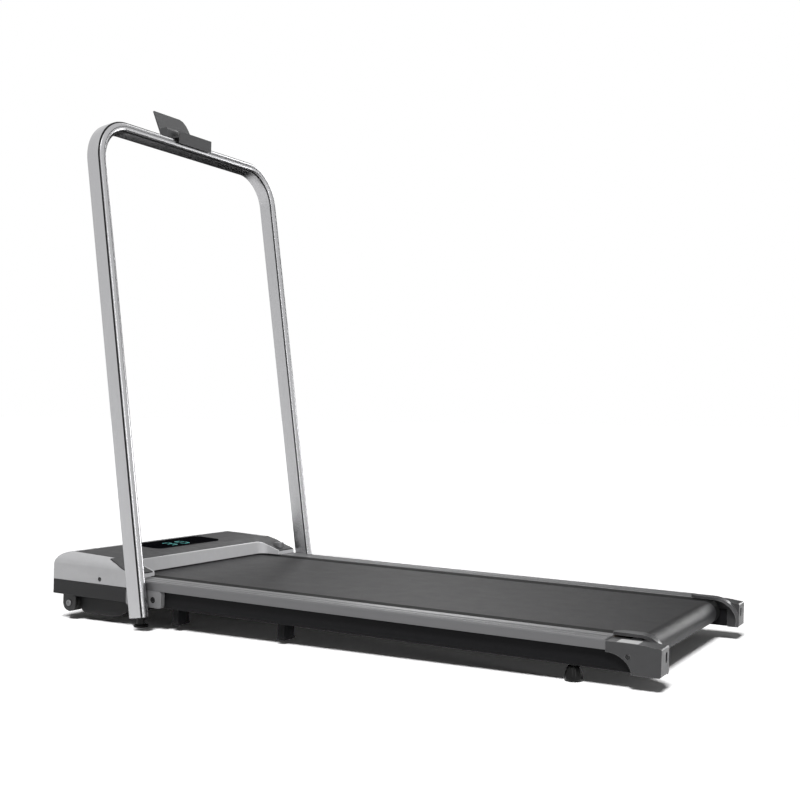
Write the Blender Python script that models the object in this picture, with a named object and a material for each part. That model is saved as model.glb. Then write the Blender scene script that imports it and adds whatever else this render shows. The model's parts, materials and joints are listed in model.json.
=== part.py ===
"""Folding walking treadmill with an inverted-U handrail: every piece is its own named object.

The deck frame is the machine's own frame: X runs to the tail, Y to the walker's right, Z up from the underside
of the side beams. One parent empty tips it nose up by INCLINE and lifts it to its standing height.
Left is -Y and right is +Y, as seen by a person who walks towards the hood.
"""

import math

import bmesh
import bpy
from mathutils import Matrix, Vector

for old in list(bpy.data.objects):
    bpy.data.objects.remove(old)

# stance
INCLINE = math.radians(1.1)      # nose-up tilt of the deck when it stands on its feet
STAND = 0.0375                   # height of the beam underside above the floor at X = 0
GAP = 0.0003                     # clearance between pieces that rest on each other

# overall plan
HALF_W = 0.270                   # half width over hood, rails and end caps
NOSE_X = -0.5815
TAIL_X = 0.644
CENTRE_X = (NOSE_X + TAIL_X) / 2 - 0.00085   # middle of the length, moved onto the world origin

# side beams
BEAM_WIDE, BEAM_H = 0.032, 0.0312
BEAM_WALL = 0.002
BEAM_OUT = HALF_W - 0.010        # hinge plates and rails stand this far outside the beams
BEAM_IN = BEAM_OUT - BEAM_WIDE
BEAM_Y = (BEAM_IN + BEAM_OUT) / 2
BEAM_X0 = NOSE_X + 0.0455
BEAM_X1 = TAIL_X - 0.022

# walking surface
RAIL_IN = BEAM_IN - 0.0065       # inner edge of the side rails
BELT_HALF = RAIL_IN - 0.0025
BELT_T = 0.0016
BELT_TOP = 0.0471
ROLL_R = 0.0215                  # radius over the belt
FRONT_ROLL_X, REAR_ROLL_X = NOSE_X + 0.1315, TAIL_X - 0.054
ROLL_Z = BELT_TOP - ROLL_R
DRUM_R = ROLL_R - BELT_T - GAP
DRUM_HALF = BELT_HALF - 0.003
AXLE_R = 0.0045
AXLE_HALF = BEAM_IN + 0.0055
BOARD_HALF = BEAM_IN + 0.010
BOARD_X0, BOARD_X1 = FRONT_ROLL_X + 0.034, REAR_ROLL_X - 0.034
BOARD_T = 0.0117
BOARD_TOP = BELT_TOP - BELT_T - GAP

# drive
PLATE_T = 0.003                  # motor plate
MOTOR_X, MOTOR_R, MOTOR_LONG = NOSE_X + 0.068, 0.030, 0.130
MOTOR_Z = PLATE_T + GAP + MOTOR_R
MOTOR_Y0 = 0.014 - BELT_HALF
MOTOR_Y1 = MOTOR_Y0 + MOTOR_LONG
DRIVE_WIDE = 0.006
DRIVE_Y1 = -DRUM_HALF - 0.0045
DRIVE_Y0 = DRIVE_Y1 - DRIVE_WIDE
MOTOR_PULLEY_R, ROLL_PULLEY_R = 0.012, 0.022

# hood
HOOD_SEAM = 0.0317
HOOD_TOP = 0.0858
HOOD_BASE_Z = 0.003
SHELL_T = 0.003
CROWN_X0, CROWN_X1 = NOSE_X + 0.0335, NOSE_X + 0.1405
CROWN_R, CROWN_FALL = 0.034, 0.0038
BAND_X, BAND_TOP, BAND_LOW = NOSE_X + 0.162, 0.0748, 0.0492
SLOPE_X, SLOPE_Z = NOSE_X + 0.1771, 0.0674
LOBE_END_X, LOBE_END_Z = NOSE_X + 0.206, 0.0582
LOBE_IN = BELT_HALF - 0.0085
HOOD_BACK = LOBE_END_X + 0.0755  # clear of the hood's rear end, for the tools that shape it
ABOVE = HOOD_TOP + 0.0342        # clear of the hood's top
CROWN_SIDE_R = 0.022
NOSE_R = 0.003                   # rounding of the hood's upright corners

# handrail and its hinge
PIVOT_X, PIVOT_Z = NOSE_X + 0.2335, 0.016
LEAN = math.radians(9.08)
TUBE_N = 0.0112                  # half thickness in the plane of the U
POST_Y = HALF_W + TUBE_N + 0.0030   # centre line of each post
RAIL_TOP_H = 0.934               # pivot to the top face of the bar
RAIL_FOOT = 0.0337               # pivot down to the cut end
BEND_R = 0.079                   # centre line radius of the two bends
PIN_R = 0.005

# wheels
WHEEL_X, WHEEL_Z, WHEEL_R = NOSE_X + 0.0345, -0.0150, 0.0165
WHEEL_Y, WHEEL_WIDE = BEAM_Y + 0.001, 0.0210

# end caps
CAP_X0 = TAIL_X - 0.087
CAP_IN = BEAM_IN + 0.003
CAP_TOP = 0.0454
CAP_LOW = -0.0013
GUARD_IN = BELT_HALF - 0.009
GUARD_R, GUARD_T = 0.0443, 0.005
GUARD_X, GUARD_Z = REAR_ROLL_X + 0.010, 0.0092

# silver side rails
RAIL_TOP = BELT_TOP + 0.0014
RAIL_X0, RAIL_X1 = LOBE_END_X + 0.0020, CAP_X0 - GAP

SLOTS = {
    "frame_black": ((0.018, 0.018, 0.019), 0.55, 0.0),
    "belt_black": ((0.022, 0.022, 0.023), 0.62, 0.0),
    "board": ((0.10, 0.075, 0.05), 0.6, 0.0),
    "rubber_black": ((0.012, 0.012, 0.012), 0.7, 0.0),
    "rail_silver": ((0.27, 0.27, 0.28), 0.38, 0.6),
    "hood_silver": ((0.36, 0.36, 0.37), 0.36, 0.3),
    "hood_dark": ((0.055, 0.055, 0.058), 0.5, 0.0),
    "display_black": ((0.006, 0.006, 0.008), 0.08, 0.0),
    "cap_silver": ((0.12, 0.12, 0.125), 0.42, 0.3),
    "zinc_steel": ((0.30, 0.30, 0.31), 0.35, 1.0),
    "roller_steel": ((0.33, 0.33, 0.34), 0.3, 1.0),
    "motor_dark": ((0.05, 0.05, 0.055), 0.45, 0.5),
    "circuit_green": ((0.02, 0.12, 0.05), 0.5, 0.0),
    "handrail_silver": ((0.42, 0.42, 0.43), 0.3, 0.6),
    "bracket_grey": ((0.16, 0.16, 0.165), 0.4, 0.3),
    "cradle_grey": ((0.06, 0.06, 0.062), 0.5, 0.0),
    "wheel_black": ((0.02, 0.02, 0.02), 0.5, 0.0),
    "button_grey": ((0.16, 0.16, 0.165), 0.4, 0.1),
}
MATERIALS = {}
for slot, (colour, rough, metal) in SLOTS.items():
    material = bpy.data.materials.new(slot)
    material.use_nodes = True
    shader = material.node_tree.nodes["Principled BSDF"]
    shader.inputs["Base Color"].default_value = (*colour, 1.0)
    shader.inputs["Roughness"].default_value = rough
    shader.inputs["Metallic"].default_value = metal
    MATERIALS[slot] = material


def empty(name, parent, location, turn=(0.0, 0.0, 0.0)):
    """A frame that other pieces hang from."""
    frame = bpy.data.objects.new(name, None)
    bpy.context.scene.collection.objects.link(frame)
    frame.parent = parent
    frame.location = location
    frame.rotation_euler = turn
    return frame


DECK = empty("deck_frame", None, (-CENTRE_X, 0.0, STAND), (0.0, INCLINE, 0.0))
HINGE = empty("handrail_frame", DECK, (PIVOT_X, 0.0, PIVOT_Z), (0.0, -LEAN, 0.0))


def prism(points, axis, low, high):
    """A straight solid: an outline in the two other axes, run along the named axis."""
    bm = bmesh.new()
    rings = []
    for level in (low, high):
        ring = []
        for a, b in points:
            place = {"X": (level, a, b), "Y": (a, level, b), "Z": (a, b, level)}[axis]
            ring.append(bm.verts.new(place))
        rings.append(ring)
    count = len(points)
    bm.faces.new(rings[0])
    bm.faces.new(list(reversed(rings[1])))
    for i in range(count):
        j = (i + 1) % count
        bm.faces.new((rings[0][i], rings[1][i], rings[1][j], rings[0][j]))
    bmesh.ops.recalc_face_normals(bm, faces=bm.faces)
    return bm


def box(x0, x1, y0, y1, z0, z1):
    """A block between two corners."""
    return prism([(x0, z0), (x1, z0), (x1, z1), (x0, z1)], "Y", min(y0, y1), max(y0, y1))


def arc(cx, cz, r, start, end, steps, squash=1.0):
    """Points along a circular arc, angles in degrees; squash scales the second axis."""
    points = []
    for i in range(steps + 1):
        t = math.radians(start + (end - start) * i / steps)
        points.append((cx + r * math.cos(t), cz + r * squash * math.sin(t)))
    return points


def rounded(a0, a1, b0, b1, r, steps=3):
    """A rectangle outline with rounded corners."""
    corners = ((a1 - r, b1 - r, 0), (a0 + r, b1 - r, 90), (a0 + r, b0 + r, 180), (a1 - r, b0 + r, 270))
    outline = []
    for ca, cb, start in corners:
        outline += arc(ca, cb, r, start, start + 90, steps)
    return outline


def turned(profile, axis, centre, steps=24):
    """A solid of revolution about an axis through centre; profile holds (along, radius) pairs."""
    bm = bmesh.new()
    rings = []
    for along, radius in profile:
        ring = []
        for i in range(steps if radius > 0 else 1):
            t = 2 * math.pi * i / steps
            a, b = radius * math.cos(t), radius * math.sin(t)
            local = {"X": (along, a, b), "Y": (b, along, a), "Z": (a, b, along)}[axis]
            ring.append(bm.verts.new(Vector(local) + Vector(centre)))
        rings.append(ring)
    for low, high in zip(rings, rings[1:]):
        for i in range(steps):
            j = (i + 1) % steps
            face = [low[i % len(low)], low[j % len(low)], high[j % len(high)], high[i % len(high)]]
            bm.faces.new(list(dict.fromkeys(face)))
    if len(rings[0]) > 1:
        bm.faces.new(list(reversed(rings[0])))
    if len(rings[-1]) > 1:
        bm.faces.new(rings[-1])
    bmesh.ops.recalc_face_normals(bm, faces=bm.faces)
    return bm


def rod(axis, centre, r, low, high, steps=16):
    """A plain cylinder from low to high along the axis."""
    return turned([(low, r), (high, r)], axis, centre, steps)


def bare(bm, name="cutter"):
    """An unlinked helper object that holds a bmesh."""
    mesh = bpy.data.meshes.new(name)
    bm.to_mesh(mesh)
    bm.free()
    thing = bpy.data.objects.new(name, mesh)
    bpy.context.scene.collection.objects.link(thing)
    return thing


def carve(base, tools, operation="DIFFERENCE"):
    """Cut, join or keep the common part of a bmesh with each tool; gives a new bmesh."""
    body = bare(base, "stock")
    for tool in tools:
        cutter = bare(tool)
        change = body.modifiers.new("carve", "BOOLEAN")
        change.operation = operation
        change.solver = "EXACT"
        change.object = cutter
        bpy.context.view_layer.update()
        graph = bpy.context.evaluated_depsgraph_get()
        mesh = bpy.data.meshes.new_from_object(body.evaluated_get(graph))
        body.modifiers.clear()
        body.data = mesh
        bpy.data.objects.remove(cutter)
    result = bmesh.new()
    result.from_mesh(body.data)
    bpy.data.objects.remove(body)
    bmesh.ops.dissolve_degenerate(result, dist=0.000002, edges=result.edges)
    return result


def piece(name, bm, slot, origin=(0.0, 0.0, 0.0), parent=None, turn=None, smooth=False):
    """Link a bmesh as a named piece; its own origin sits at the given point of the deck frame."""
    bmesh.ops.transform(bm, matrix=Matrix.Translation(-Vector(origin)), verts=bm.verts)
    bmesh.ops.recalc_face_normals(bm, faces=bm.faces)
    mesh = bpy.data.meshes.new(name)
    bm.to_mesh(mesh)
    bm.free()
    thing = bpy.data.objects.new(name, mesh)
    bpy.context.scene.collection.objects.link(thing)
    mesh.materials.append(MATERIALS[slot])
    if smooth:
        mesh.shade_smooth()
        mesh.set_sharp_from_angle(angle=math.radians(35))
    thing.parent = parent or DECK
    thing.location = origin
    if turn is not None:
        thing.rotation_euler = turn
    return thing


def side_turned(profile, side, x, z, steps=16):
    """A turned piece that runs outward along Y on one side; profile is given in distances from the middle."""
    return turned([(side * along, r) for along, r in profile], "Y", (x, 0.0, z), steps)


def rail_point(x, z):
    """A deck frame point in the handrail's own frame."""
    dx, dz = x - PIVOT_X, z - PIVOT_Z
    return (dx * math.cos(LEAN) + dz * math.sin(LEAN), -dx * math.sin(LEAN) + dz * math.cos(LEAN))


SIDES = (("left", -1), ("right", 1))

# frame
HINGE_BOLT_X, HINGE_BOLT_Z = PIVOT_X + 0.0216, PIVOT_Z - 0.0015
FRONT_FOOT_X, REAR_FOOT_X = PIVOT_X - 0.0283, CAP_X0 - 0.059
STEM_R = 0.004
for label, side in SIDES:
    inner, outer = side * BEAM_IN, side * BEAM_OUT
    beam = box(BEAM_X0, BEAM_X1, inner, outer, 0.0, BEAM_H)
    w = BEAM_WALL
    hollow = box(BEAM_X0 - 0.01, BEAM_X1 + 0.01, side * (BEAM_IN + w), side * (BEAM_OUT - w), w, BEAM_H - w)
    holes = [hollow]
    for hole_x, hole_z, r in ((PIVOT_X, PIVOT_Z, PIN_R + 0.0006), (HINGE_BOLT_X, HINGE_BOLT_Z, 0.0034)):
        holes.append(rod("Y", (hole_x, side * BEAM_OUT, hole_z), r, -0.006, 0.006))
    for axle_x in (FRONT_ROLL_X, REAR_ROLL_X):
        holes.append(rod("Y", (axle_x, inner, ROLL_Z), AXLE_R + GAP, -0.006, 0.006))
    for foot_x in (FRONT_FOOT_X, REAR_FOOT_X):
        holes.append(rod("Z", (foot_x, side * BEAM_Y, 0.0), STEM_R + 0.0006, -0.006, 0.006))
    piece("side_beam_" + label, carve(beam, holes), "frame_black")

motor_plate = box(BEAM_X0 + 0.001, MOTOR_X + 0.0335, -BEAM_IN + GAP, BEAM_IN - GAP, 0.0, PLATE_T)
piece("motor_plate", motor_plate, "frame_black")
TUBE_W, TUBE_Z0, TUBE_Z1 = 0.020, 0.0085, 0.0285
LEG_LONG, LEG_DEEP, LEG_DROP = 0.0134, 0.0325, 0.0300
for label, tube_x, leg_x in (("front", PIVOT_X + 0.088, PIVOT_X + 0.0564), ("middle", 0.060, -0.0520)):
    tube = box(tube_x - TUBE_W / 2, tube_x + TUBE_W / 2, -BEAM_IN + GAP, BEAM_IN - GAP, TUBE_Z0, TUBE_Z1)
    piece("cross_tube_" + label, tube, "frame_black")
    for end, side in SIDES:
        y0, y1 = sorted((side * (BEAM_Y + 0.0005 - LEG_DEEP), side * (BEAM_Y + 0.0005)))
        leg = box(leg_x - LEG_LONG / 2, leg_x + LEG_LONG / 2, y0, y1, -LEG_DROP, -GAP)
        shoe = prism(rounded(leg_x - 0.0082, leg_x + 0.0082, y0 - 0.0015, y1 + 0.0015, 0.002, 2), "Z",
                     -LEG_DROP - 0.0015, -LEG_DROP + 0.0025)
        piece("support_leg_" + label + "_" + end, carve(leg, [shoe], "UNION"), "frame_black")

# running board on its rubber strips
piece("running_board", box(BOARD_X0, BOARD_X1, -BOARD_HALF, BOARD_HALF, BOARD_TOP - BOARD_T, BOARD_TOP), "board")
for label, side in SIDES:
    strip = box(BOARD_X0 + 0.016, BOARD_X1 - 0.016, side * (BEAM_IN + 0.001), side * (BOARD_HALF - 0.0005),
                BEAM_H + GAP, BOARD_TOP - BOARD_T - GAP)
    piece("deck_cushion_" + label, strip, "rubber_black")

# walking belt: one closed loop round both rollers
def belt_loop(x0, x1, z0, z1, r0, r1, y0, y1, thickness, steps=12):
    """A flat belt in open drive round two pulleys; r0 and r1 are the radii over the belt."""
    span = math.hypot(x1 - x0, z1 - z0)
    line = math.degrees(math.atan2(z1 - z0, x1 - x0))
    slope = math.degrees(math.asin((r0 - r1) / span))
    loops = []
    for cut in (0.0, thickness):
        back = arc(x0, z0, r0 - cut, line + 90 - slope, line + 270 + slope, steps)
        front = arc(x1, z1, r1 - cut, line - 90 + slope, line + 90 - slope, steps)
        loops.append(back + front)
    bm = bmesh.new()
    grid = [[[bm.verts.new((x, y, z)) for x, z in loop] for y in (y0, y1)] for loop in loops]
    count = len(loops[0])
    for i in range(count):
        j = (i + 1) % count
        (oa, ob), (ia, ib) = grid
        bm.faces.new((oa[i], oa[j], ob[j], ob[i]))
        bm.faces.new((ia[i], ib[i], ib[j], ia[j]))
        bm.faces.new((oa[i], ia[i], ia[j], oa[j]))
        bm.faces.new((ob[i], ob[j], ib[j], ib[i]))
    return bm


belt = belt_loop(FRONT_ROLL_X, REAR_ROLL_X, ROLL_Z, ROLL_Z, ROLL_R, ROLL_R, -BELT_HALF, BELT_HALF, BELT_T)
piece("walking_belt", belt, "belt_black", smooth=True)


def hollow_roller(x, extra):
    """A roller drum with a bore for its axle; extra adds turned steps beyond the left end."""
    outer = extra + [(-DRUM_HALF, DRUM_R), (DRUM_HALF, DRUM_R)]
    drum = turned(outer, "Y", (x, 0.0, ROLL_Z), 32)
    return carve(drum, [rod("Y", (x, 0.0, ROLL_Z), AXLE_R + 0.0004, -0.3, 0.3, 20)])


pulley_steps = [(DRIVE_Y0, ROLL_PULLEY_R), (DRIVE_Y1, ROLL_PULLEY_R), (DRIVE_Y1, 0.012), (-DRUM_HALF, 0.012)]
for label, x, extra in (("front", FRONT_ROLL_X, pulley_steps), ("rear", REAR_ROLL_X, [])):
    at = (x, 0.0, ROLL_Z)
    piece(label + "_roller", hollow_roller(x, extra), "roller_steel", at, smooth=True)
    axle = turned([(-AXLE_HALF, AXLE_R * 0.9), (-AXLE_HALF + 0.001, AXLE_R), (AXLE_HALF - 0.001, AXLE_R),
                   (AXLE_HALF, AXLE_R * 0.9)], "Y", at, 20)
    piece(label + "_axle", axle, "zinc_steel", smooth=True)

# foot rails, extruded, with two grooves along the top
for label, side in SIDES:
    top, low = RAIL_TOP, BEAM_H + GAP
    outline = [(RAIL_IN, top - 0.003), (RAIL_IN, top - 0.0006), (RAIL_IN + 0.0006, top)]
    for groove_y in (HALF_W - 0.0300, HALF_W - 0.0140):
        outline += [(groove_y, top), (groove_y + 0.0006, top - 0.0012), (groove_y + 0.0024, top - 0.0012),
                    (groove_y + 0.0030, top)]
    outline += [(HALF_W - 0.0030, top), (HALF_W - 0.0009, top - 0.0009), (HALF_W, top - 0.0030), (HALF_W, low),
                (BOARD_HALF + 0.0015, low), (BOARD_HALF + 0.0015, top - 0.003)]
    rail = prism([(side * y, z) for y, z in outline], "X", RAIL_X0, RAIL_X1)
    piece("side_rail_" + label, rail, "rail_silver")

# motor, its shaft and the drive belt
motor = turned([(MOTOR_Y0, 0.012), (MOTOR_Y0, MOTOR_R - 0.004), (MOTOR_Y0 + 0.004, MOTOR_R),
                (MOTOR_Y1 - 0.004, MOTOR_R), (MOTOR_Y1, MOTOR_R - 0.004), (MOTOR_Y1, 0.010)],
               "Y", (MOTOR_X, 0.0, MOTOR_Z), 32)
foot = box(MOTOR_X - 0.020, MOTOR_X + 0.020, MOTOR_Y0 + 0.015, MOTOR_Y1 - 0.015, PLATE_T + GAP, MOTOR_Z - 0.018)
motor = carve(motor, [foot], "UNION")
motor = carve(motor, [rod("Y", (MOTOR_X, 0.0, MOTOR_Z), 0.0044, MOTOR_Y0 - 0.01, MOTOR_Y0 + 0.030)])
piece("motor_body", motor, "motor_dark", smooth=True)
shaft = turned([(DRIVE_Y0, MOTOR_PULLEY_R), (DRIVE_Y1, MOTOR_PULLEY_R), (DRIVE_Y1, 0.004),
                (MOTOR_Y0 + 0.028, 0.004)], "Y", (MOTOR_X, 0.0, MOTOR_Z), 20)
piece("motor_shaft", shaft, "zinc_steel", (MOTOR_X, 0.0, MOTOR_Z), smooth=True)
loop = belt_loop(MOTOR_X, FRONT_ROLL_X, MOTOR_Z, ROLL_Z, MOTOR_PULLEY_R + GAP + 0.002,
                 ROLL_PULLEY_R + GAP + 0.002, DRIVE_Y0 + GAP, DRIVE_Y1 - GAP, 0.002, 12)
piece("drive_belt", loop, "rubber_black", smooth=True)
CIRCUIT_Y = BEAM_IN - 0.038      # outer edge of the control board, which is 0.160 long
board = box(MOTOR_X - 0.0195, MOTOR_X + 0.0295, CIRCUIT_Y - 0.160, CIRCUIT_Y, PLATE_T + GAP, PLATE_T + 0.004)
blocks = [box(MOTOR_X - 0.0165, MOTOR_X + 0.0265, CIRCUIT_Y - 0.070, CIRCUIT_Y - 0.010, PLATE_T + 0.003, 0.030)]
for k in range(3):
    middle = (MOTOR_X - 0.0015, CIRCUIT_Y - 0.145 + 0.025 * k, 0.0)
    blocks.append(rod("Z", middle, 0.009, PLATE_T + 0.003, 0.034, 12))
piece("control_board", carve(board, blocks, "UNION"), "circuit_green")

# hood: one outer form, hollowed, then parted into shell and top cover
def hood_form(inset):
    """The closed outer form of the hood, shrunk by inset on its outside faces."""
    r = CROWN_R - inset
    top, low = HOOD_TOP - inset, HOOD_SEAM - (0.02 if inset else 0.0)
    side_view = [(NOSE_X + inset, low), (NOSE_X + inset, top - r)]
    side_view += arc(CROWN_X0 + inset * 0.2, top - r, r, 180, 90, 6)[1:]
    side_view += [(CROWN_X1, HOOD_TOP - CROWN_FALL - inset)]
    if inset:
        side_view += [(BAND_X - inset, BAND_TOP - inset + 0.0010), (BAND_X - inset, low)]
    else:
        side_view += [(BAND_X, BAND_TOP), (SLOPE_X, SLOPE_Z), (LOBE_END_X, LOBE_END_Z),
                      (LOBE_END_X + 0.0016, LOBE_END_Z - 0.003), (LOBE_END_X + 0.0016, low)]
    form = prism(side_view, "Y", -HALF_W - 0.03, HALF_W + 0.03)
    side_r = CROWN_SIDE_R - inset
    half = HALF_W - inset
    section = [(-half, low - 0.01)]
    section += arc(-half + side_r, HOOD_TOP - inset - side_r, side_r, 180, 90, 5)
    section += arc(half - side_r, HOOD_TOP - inset - side_r, side_r, 90, 0, 5) + [(half, low - 0.01)]
    across = prism(section, "X", NOSE_X - 0.12, HOOD_BACK)
    plan = arc(NOSE_X + inset + NOSE_R, half - NOSE_R, NOSE_R, 90, 180, 2)
    plan += arc(NOSE_X + inset + NOSE_R, -half + NOSE_R, NOSE_R, 180, 270, 2)
    plan += [(HOOD_BACK, -half), (HOOD_BACK, half)]
    return carve(form, [across, prism(plan, "Z", -0.1, 0.2)], "INTERSECT")


def rear_bay(grow):
    """The open bay behind the rear band where the belt comes out, with rounded inner corners."""
    x, half, r = BAND_X - grow, LOBE_IN + grow, 0.020 + grow
    outline = [(HOOD_BACK, -half), (HOOD_BACK, half)] + arc(x + r, half - r, r, 90, 180, 5)
    outline += arc(x + r, -half + r, r, 180, 270, 5)
    return prism(outline, "Z", -0.1, 0.2)


def slope_prism(drop):
    """Everything above a surface that runs drop below the sloping shoulder tops."""
    slope = (LOBE_END_Z - SLOPE_Z) / (LOBE_END_X - SLOPE_X)
    end_z = LOBE_END_Z + slope * 0.005 - drop
    points = [(CROWN_X1 + 0.0003, HOOD_TOP - CROWN_FALL - drop), (BAND_X, BAND_TOP - drop),
              (SLOPE_X, SLOPE_Z - drop), (LOBE_END_X + 0.005, end_z), (LOBE_END_X + 0.005, ABOVE),
              (CROWN_X1 + 0.0003, ABOVE)]
    return points


SIDE_LIMIT = HALF_W - CROWN_SIDE_R + 0.0015
COVER_T = 0.0018                 # thickness of the cover over the sloping shoulders


def cover_region(grow):
    """The space taken by the dark top cover, grown by a seam width."""
    roof = box(CROWN_X0 + 0.003 - grow, CROWN_X1 + 0.001, -SIDE_LIMIT - grow, SIDE_LIMIT + grow,
               HOOD_TOP - 0.0258, ABOVE)
    outline = [(x - (grow if x < CROWN_X1 + 0.001 else 0.0), z - (grow if z < ABOVE else 0.0))
               for x, z in slope_prism(COVER_T)]
    slopes = prism(outline, "Y", -HALF_W - 0.02, HALF_W + 0.02)
    region = carve(roof, [slopes], "UNION")
    return carve(region, [rear_bay(SHELL_T + GAP - grow)])


def screw_cuts(x, z, side, face, head_r, head_h, shank_r, depth):
    """Counterbore and through hole for a screw that enters a side face."""
    return [rod("Y", (x, 0.0, z), head_r + GAP, *sorted((side * (face - head_h - GAP), side * (face + 0.01)))),
            rod("Y", (x, 0.0, z), shank_r + GAP, *sorted((side * (face - depth - 0.002), side * (face - 0.0005))))]


def side_screw(x, z, side, face, head_r, head_h, shank_r, depth):
    """A round-headed screw with a cross-free round drive recess, sunk flush in a side face."""
    profile = [(face - depth, shank_r * 0.6), (face - depth + 0.001, shank_r), (face - head_h, shank_r),
               (face - head_h, head_r), (face - 0.0006, head_r), (face - 0.0002, head_r * 0.8),
               (face - 0.0002, head_r * 0.45), (face - 0.0010, head_r * 0.4)]
    return side_turned(profile, side, x, z)


HOOD_SCREW = dict(x=CROWN_X1 - 0.0184, z=HOOD_SEAM + 0.0090, face=HALF_W, head_r=0.0042, head_h=0.0017,
                  shank_r=0.0018, depth=0.010)
BUTTON_X0, BUTTON_Y0 = SLOPE_X - 0.0001, BEAM_IN + 0.0045
BUTTON_X1, BUTTON_Y1 = BUTTON_X0 + 0.0195, BUTTON_Y0 + 0.0160
BUTTON_LOW, BUTTON_TOP = SLOPE_Z - 0.0119, SLOPE_Z + 0.0051


def button_hole(side, grow, low):
    """The well that a release button slides in."""
    y0, y1 = sorted((side * (BUTTON_Y0 - grow), side * (BUTTON_Y1 + grow)))
    return prism(rounded(BUTTON_X0 - grow, BUTTON_X1 + grow, y0, y1, 0.003 + grow, 2), "Z", low, ABOVE)


hollow_cuts = [hood_form(SHELL_T), rear_bay(0.0),
               box(BAND_X - 0.0105, HOOD_BACK, -BELT_HALF - 0.0022, BELT_HALF + 0.0022, 0.0, BAND_LOW),
               box(BAND_X - 0.0105, HOOD_BACK, -BOARD_HALF - 0.001, BOARD_HALF + 0.001, 0.0, BOARD_TOP + 0.0006)]
shell_stock = carve(hood_form(0.0), hollow_cuts)
cover = carve(shell_stock.copy(), [cover_region(0.0)], "INTERSECT")
cover = carve(cover, [button_hole(side, 0.0005, 0.0) for _, side in SIDES])
piece("hood_top", cover, "hood_dark", smooth=True)
shell_cuts = [cover_region(GAP)]
for _, side in SIDES:
    shell_cuts += screw_cuts(side=side, **HOOD_SCREW)
    shell_cuts.append(button_hole(side, 0.0005, BUTTON_LOW - 0.0055))
piece("hood_shell", carve(shell_stock, shell_cuts), "hood_silver", smooth=True)
for label, side in SIDES:
    piece("hood_screw_" + label, side_screw(side=side, **HOOD_SCREW), "zinc_steel", smooth=True)

roof_slope = math.atan2(CROWN_FALL, CROWN_X1 - CROWN_X0)
panel_x = (CROWN_X0 + CROWN_X1) / 2 - 0.0025
panel_z = HOOD_TOP - CROWN_FALL * (panel_x - CROWN_X0) / (CROWN_X1 - CROWN_X0)
panel = prism(rounded(-0.035, 0.035, -0.095, 0.115, 0.016, 4), "Z", 0.0004, 0.0018)
piece("display_panel", panel, "display_black", turn=(0.0, roof_slope, 0.0)).location = (panel_x, 0.0, panel_z)

PLATE_X0, PLATE_X1 = PIVOT_X - 0.044, PIVOT_X + 0.042   # hinge plates
base_end = PLATE_X0 - 0.0005
base_plan = [(base_end, HALF_W)] + arc(NOSE_X + NOSE_R, HALF_W - NOSE_R, NOSE_R, 90, 180, 2)
base_plan += arc(NOSE_X + NOSE_R, -HALF_W + NOSE_R, NOSE_R, 180, 270, 2) + [(base_end, -HALF_W)]
base = prism(base_plan, "Z", HOOD_BASE_Z, HOOD_SEAM - GAP)
base_room = box(NOSE_X + SHELL_T, HOOD_BACK, -BEAM_OUT - GAP, BEAM_OUT + GAP, -0.02, 0.08)

# mains inlet with its rocker switch, in the front of the base
INLET_Z = 0.017
INLET_HALF = 0.0085              # half height of the body behind the flange
INLET_Y1 = HALF_W - 0.069
INLET_Y0 = INLET_Y1 - 0.077
ROCKER_Y, ROCKER_LONG, ROCKER_HALF = INLET_Y0 + 0.015, 0.0102, 0.0067
inlet_hole = box(NOSE_X - 0.01, NOSE_X + 0.006, INLET_Y0 - GAP, INLET_Y1 + GAP, INLET_Z - INLET_HALF - GAP,
                 INLET_Z + INLET_HALF + GAP)
piece("hood_base", carve(base, [base_room, inlet_hole]), "hood_dark")

flange = box(NOSE_X - 0.0016, NOSE_X - GAP, INLET_Y0 - 0.004, INLET_Y1 + 0.004, INLET_Z - 0.0115, INLET_Z + 0.0115)
inlet = carve(flange, [box(NOSE_X - 0.0010, NOSE_X + 0.0215, INLET_Y0, INLET_Y1, INLET_Z - INLET_HALF,
                           INLET_Z + INLET_HALF)], "UNION")
socket = prism(rounded(INLET_Y1 - 0.041, INLET_Y1 - 0.004, INLET_Z - 0.0070, INLET_Z + 0.0070, 0.003, 2), "X",
               NOSE_X - 0.0185, NOSE_X + 0.0155)
rocker_well = box(NOSE_X - 0.0185, NOSE_X + 0.0080,
                  ROCKER_Y - ROCKER_LONG - 0.0008, ROCKER_Y + ROCKER_LONG + 0.0008,
                  INLET_Z - ROCKER_HALF - 0.0005, INLET_Z + ROCKER_HALF + 0.0005)
piece("power_inlet", carve(inlet, [socket, rocker_well]), "wheel_black")
rocker = [(NOSE_X - 0.0027, ROCKER_Y - ROCKER_LONG), (NOSE_X - 0.0013, ROCKER_Y),
          (NOSE_X - 0.0027, ROCKER_Y + ROCKER_LONG), (NOSE_X + 0.0045, ROCKER_Y + ROCKER_LONG),
          (NOSE_X + 0.0045, ROCKER_Y - ROCKER_LONG)]
piece("power_switch", prism(rocker, "Z", INLET_Z - ROCKER_HALF, INLET_Z + ROCKER_HALF), "button_grey",
      (NOSE_X + 0.0010, ROCKER_Y, INLET_Z))

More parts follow.
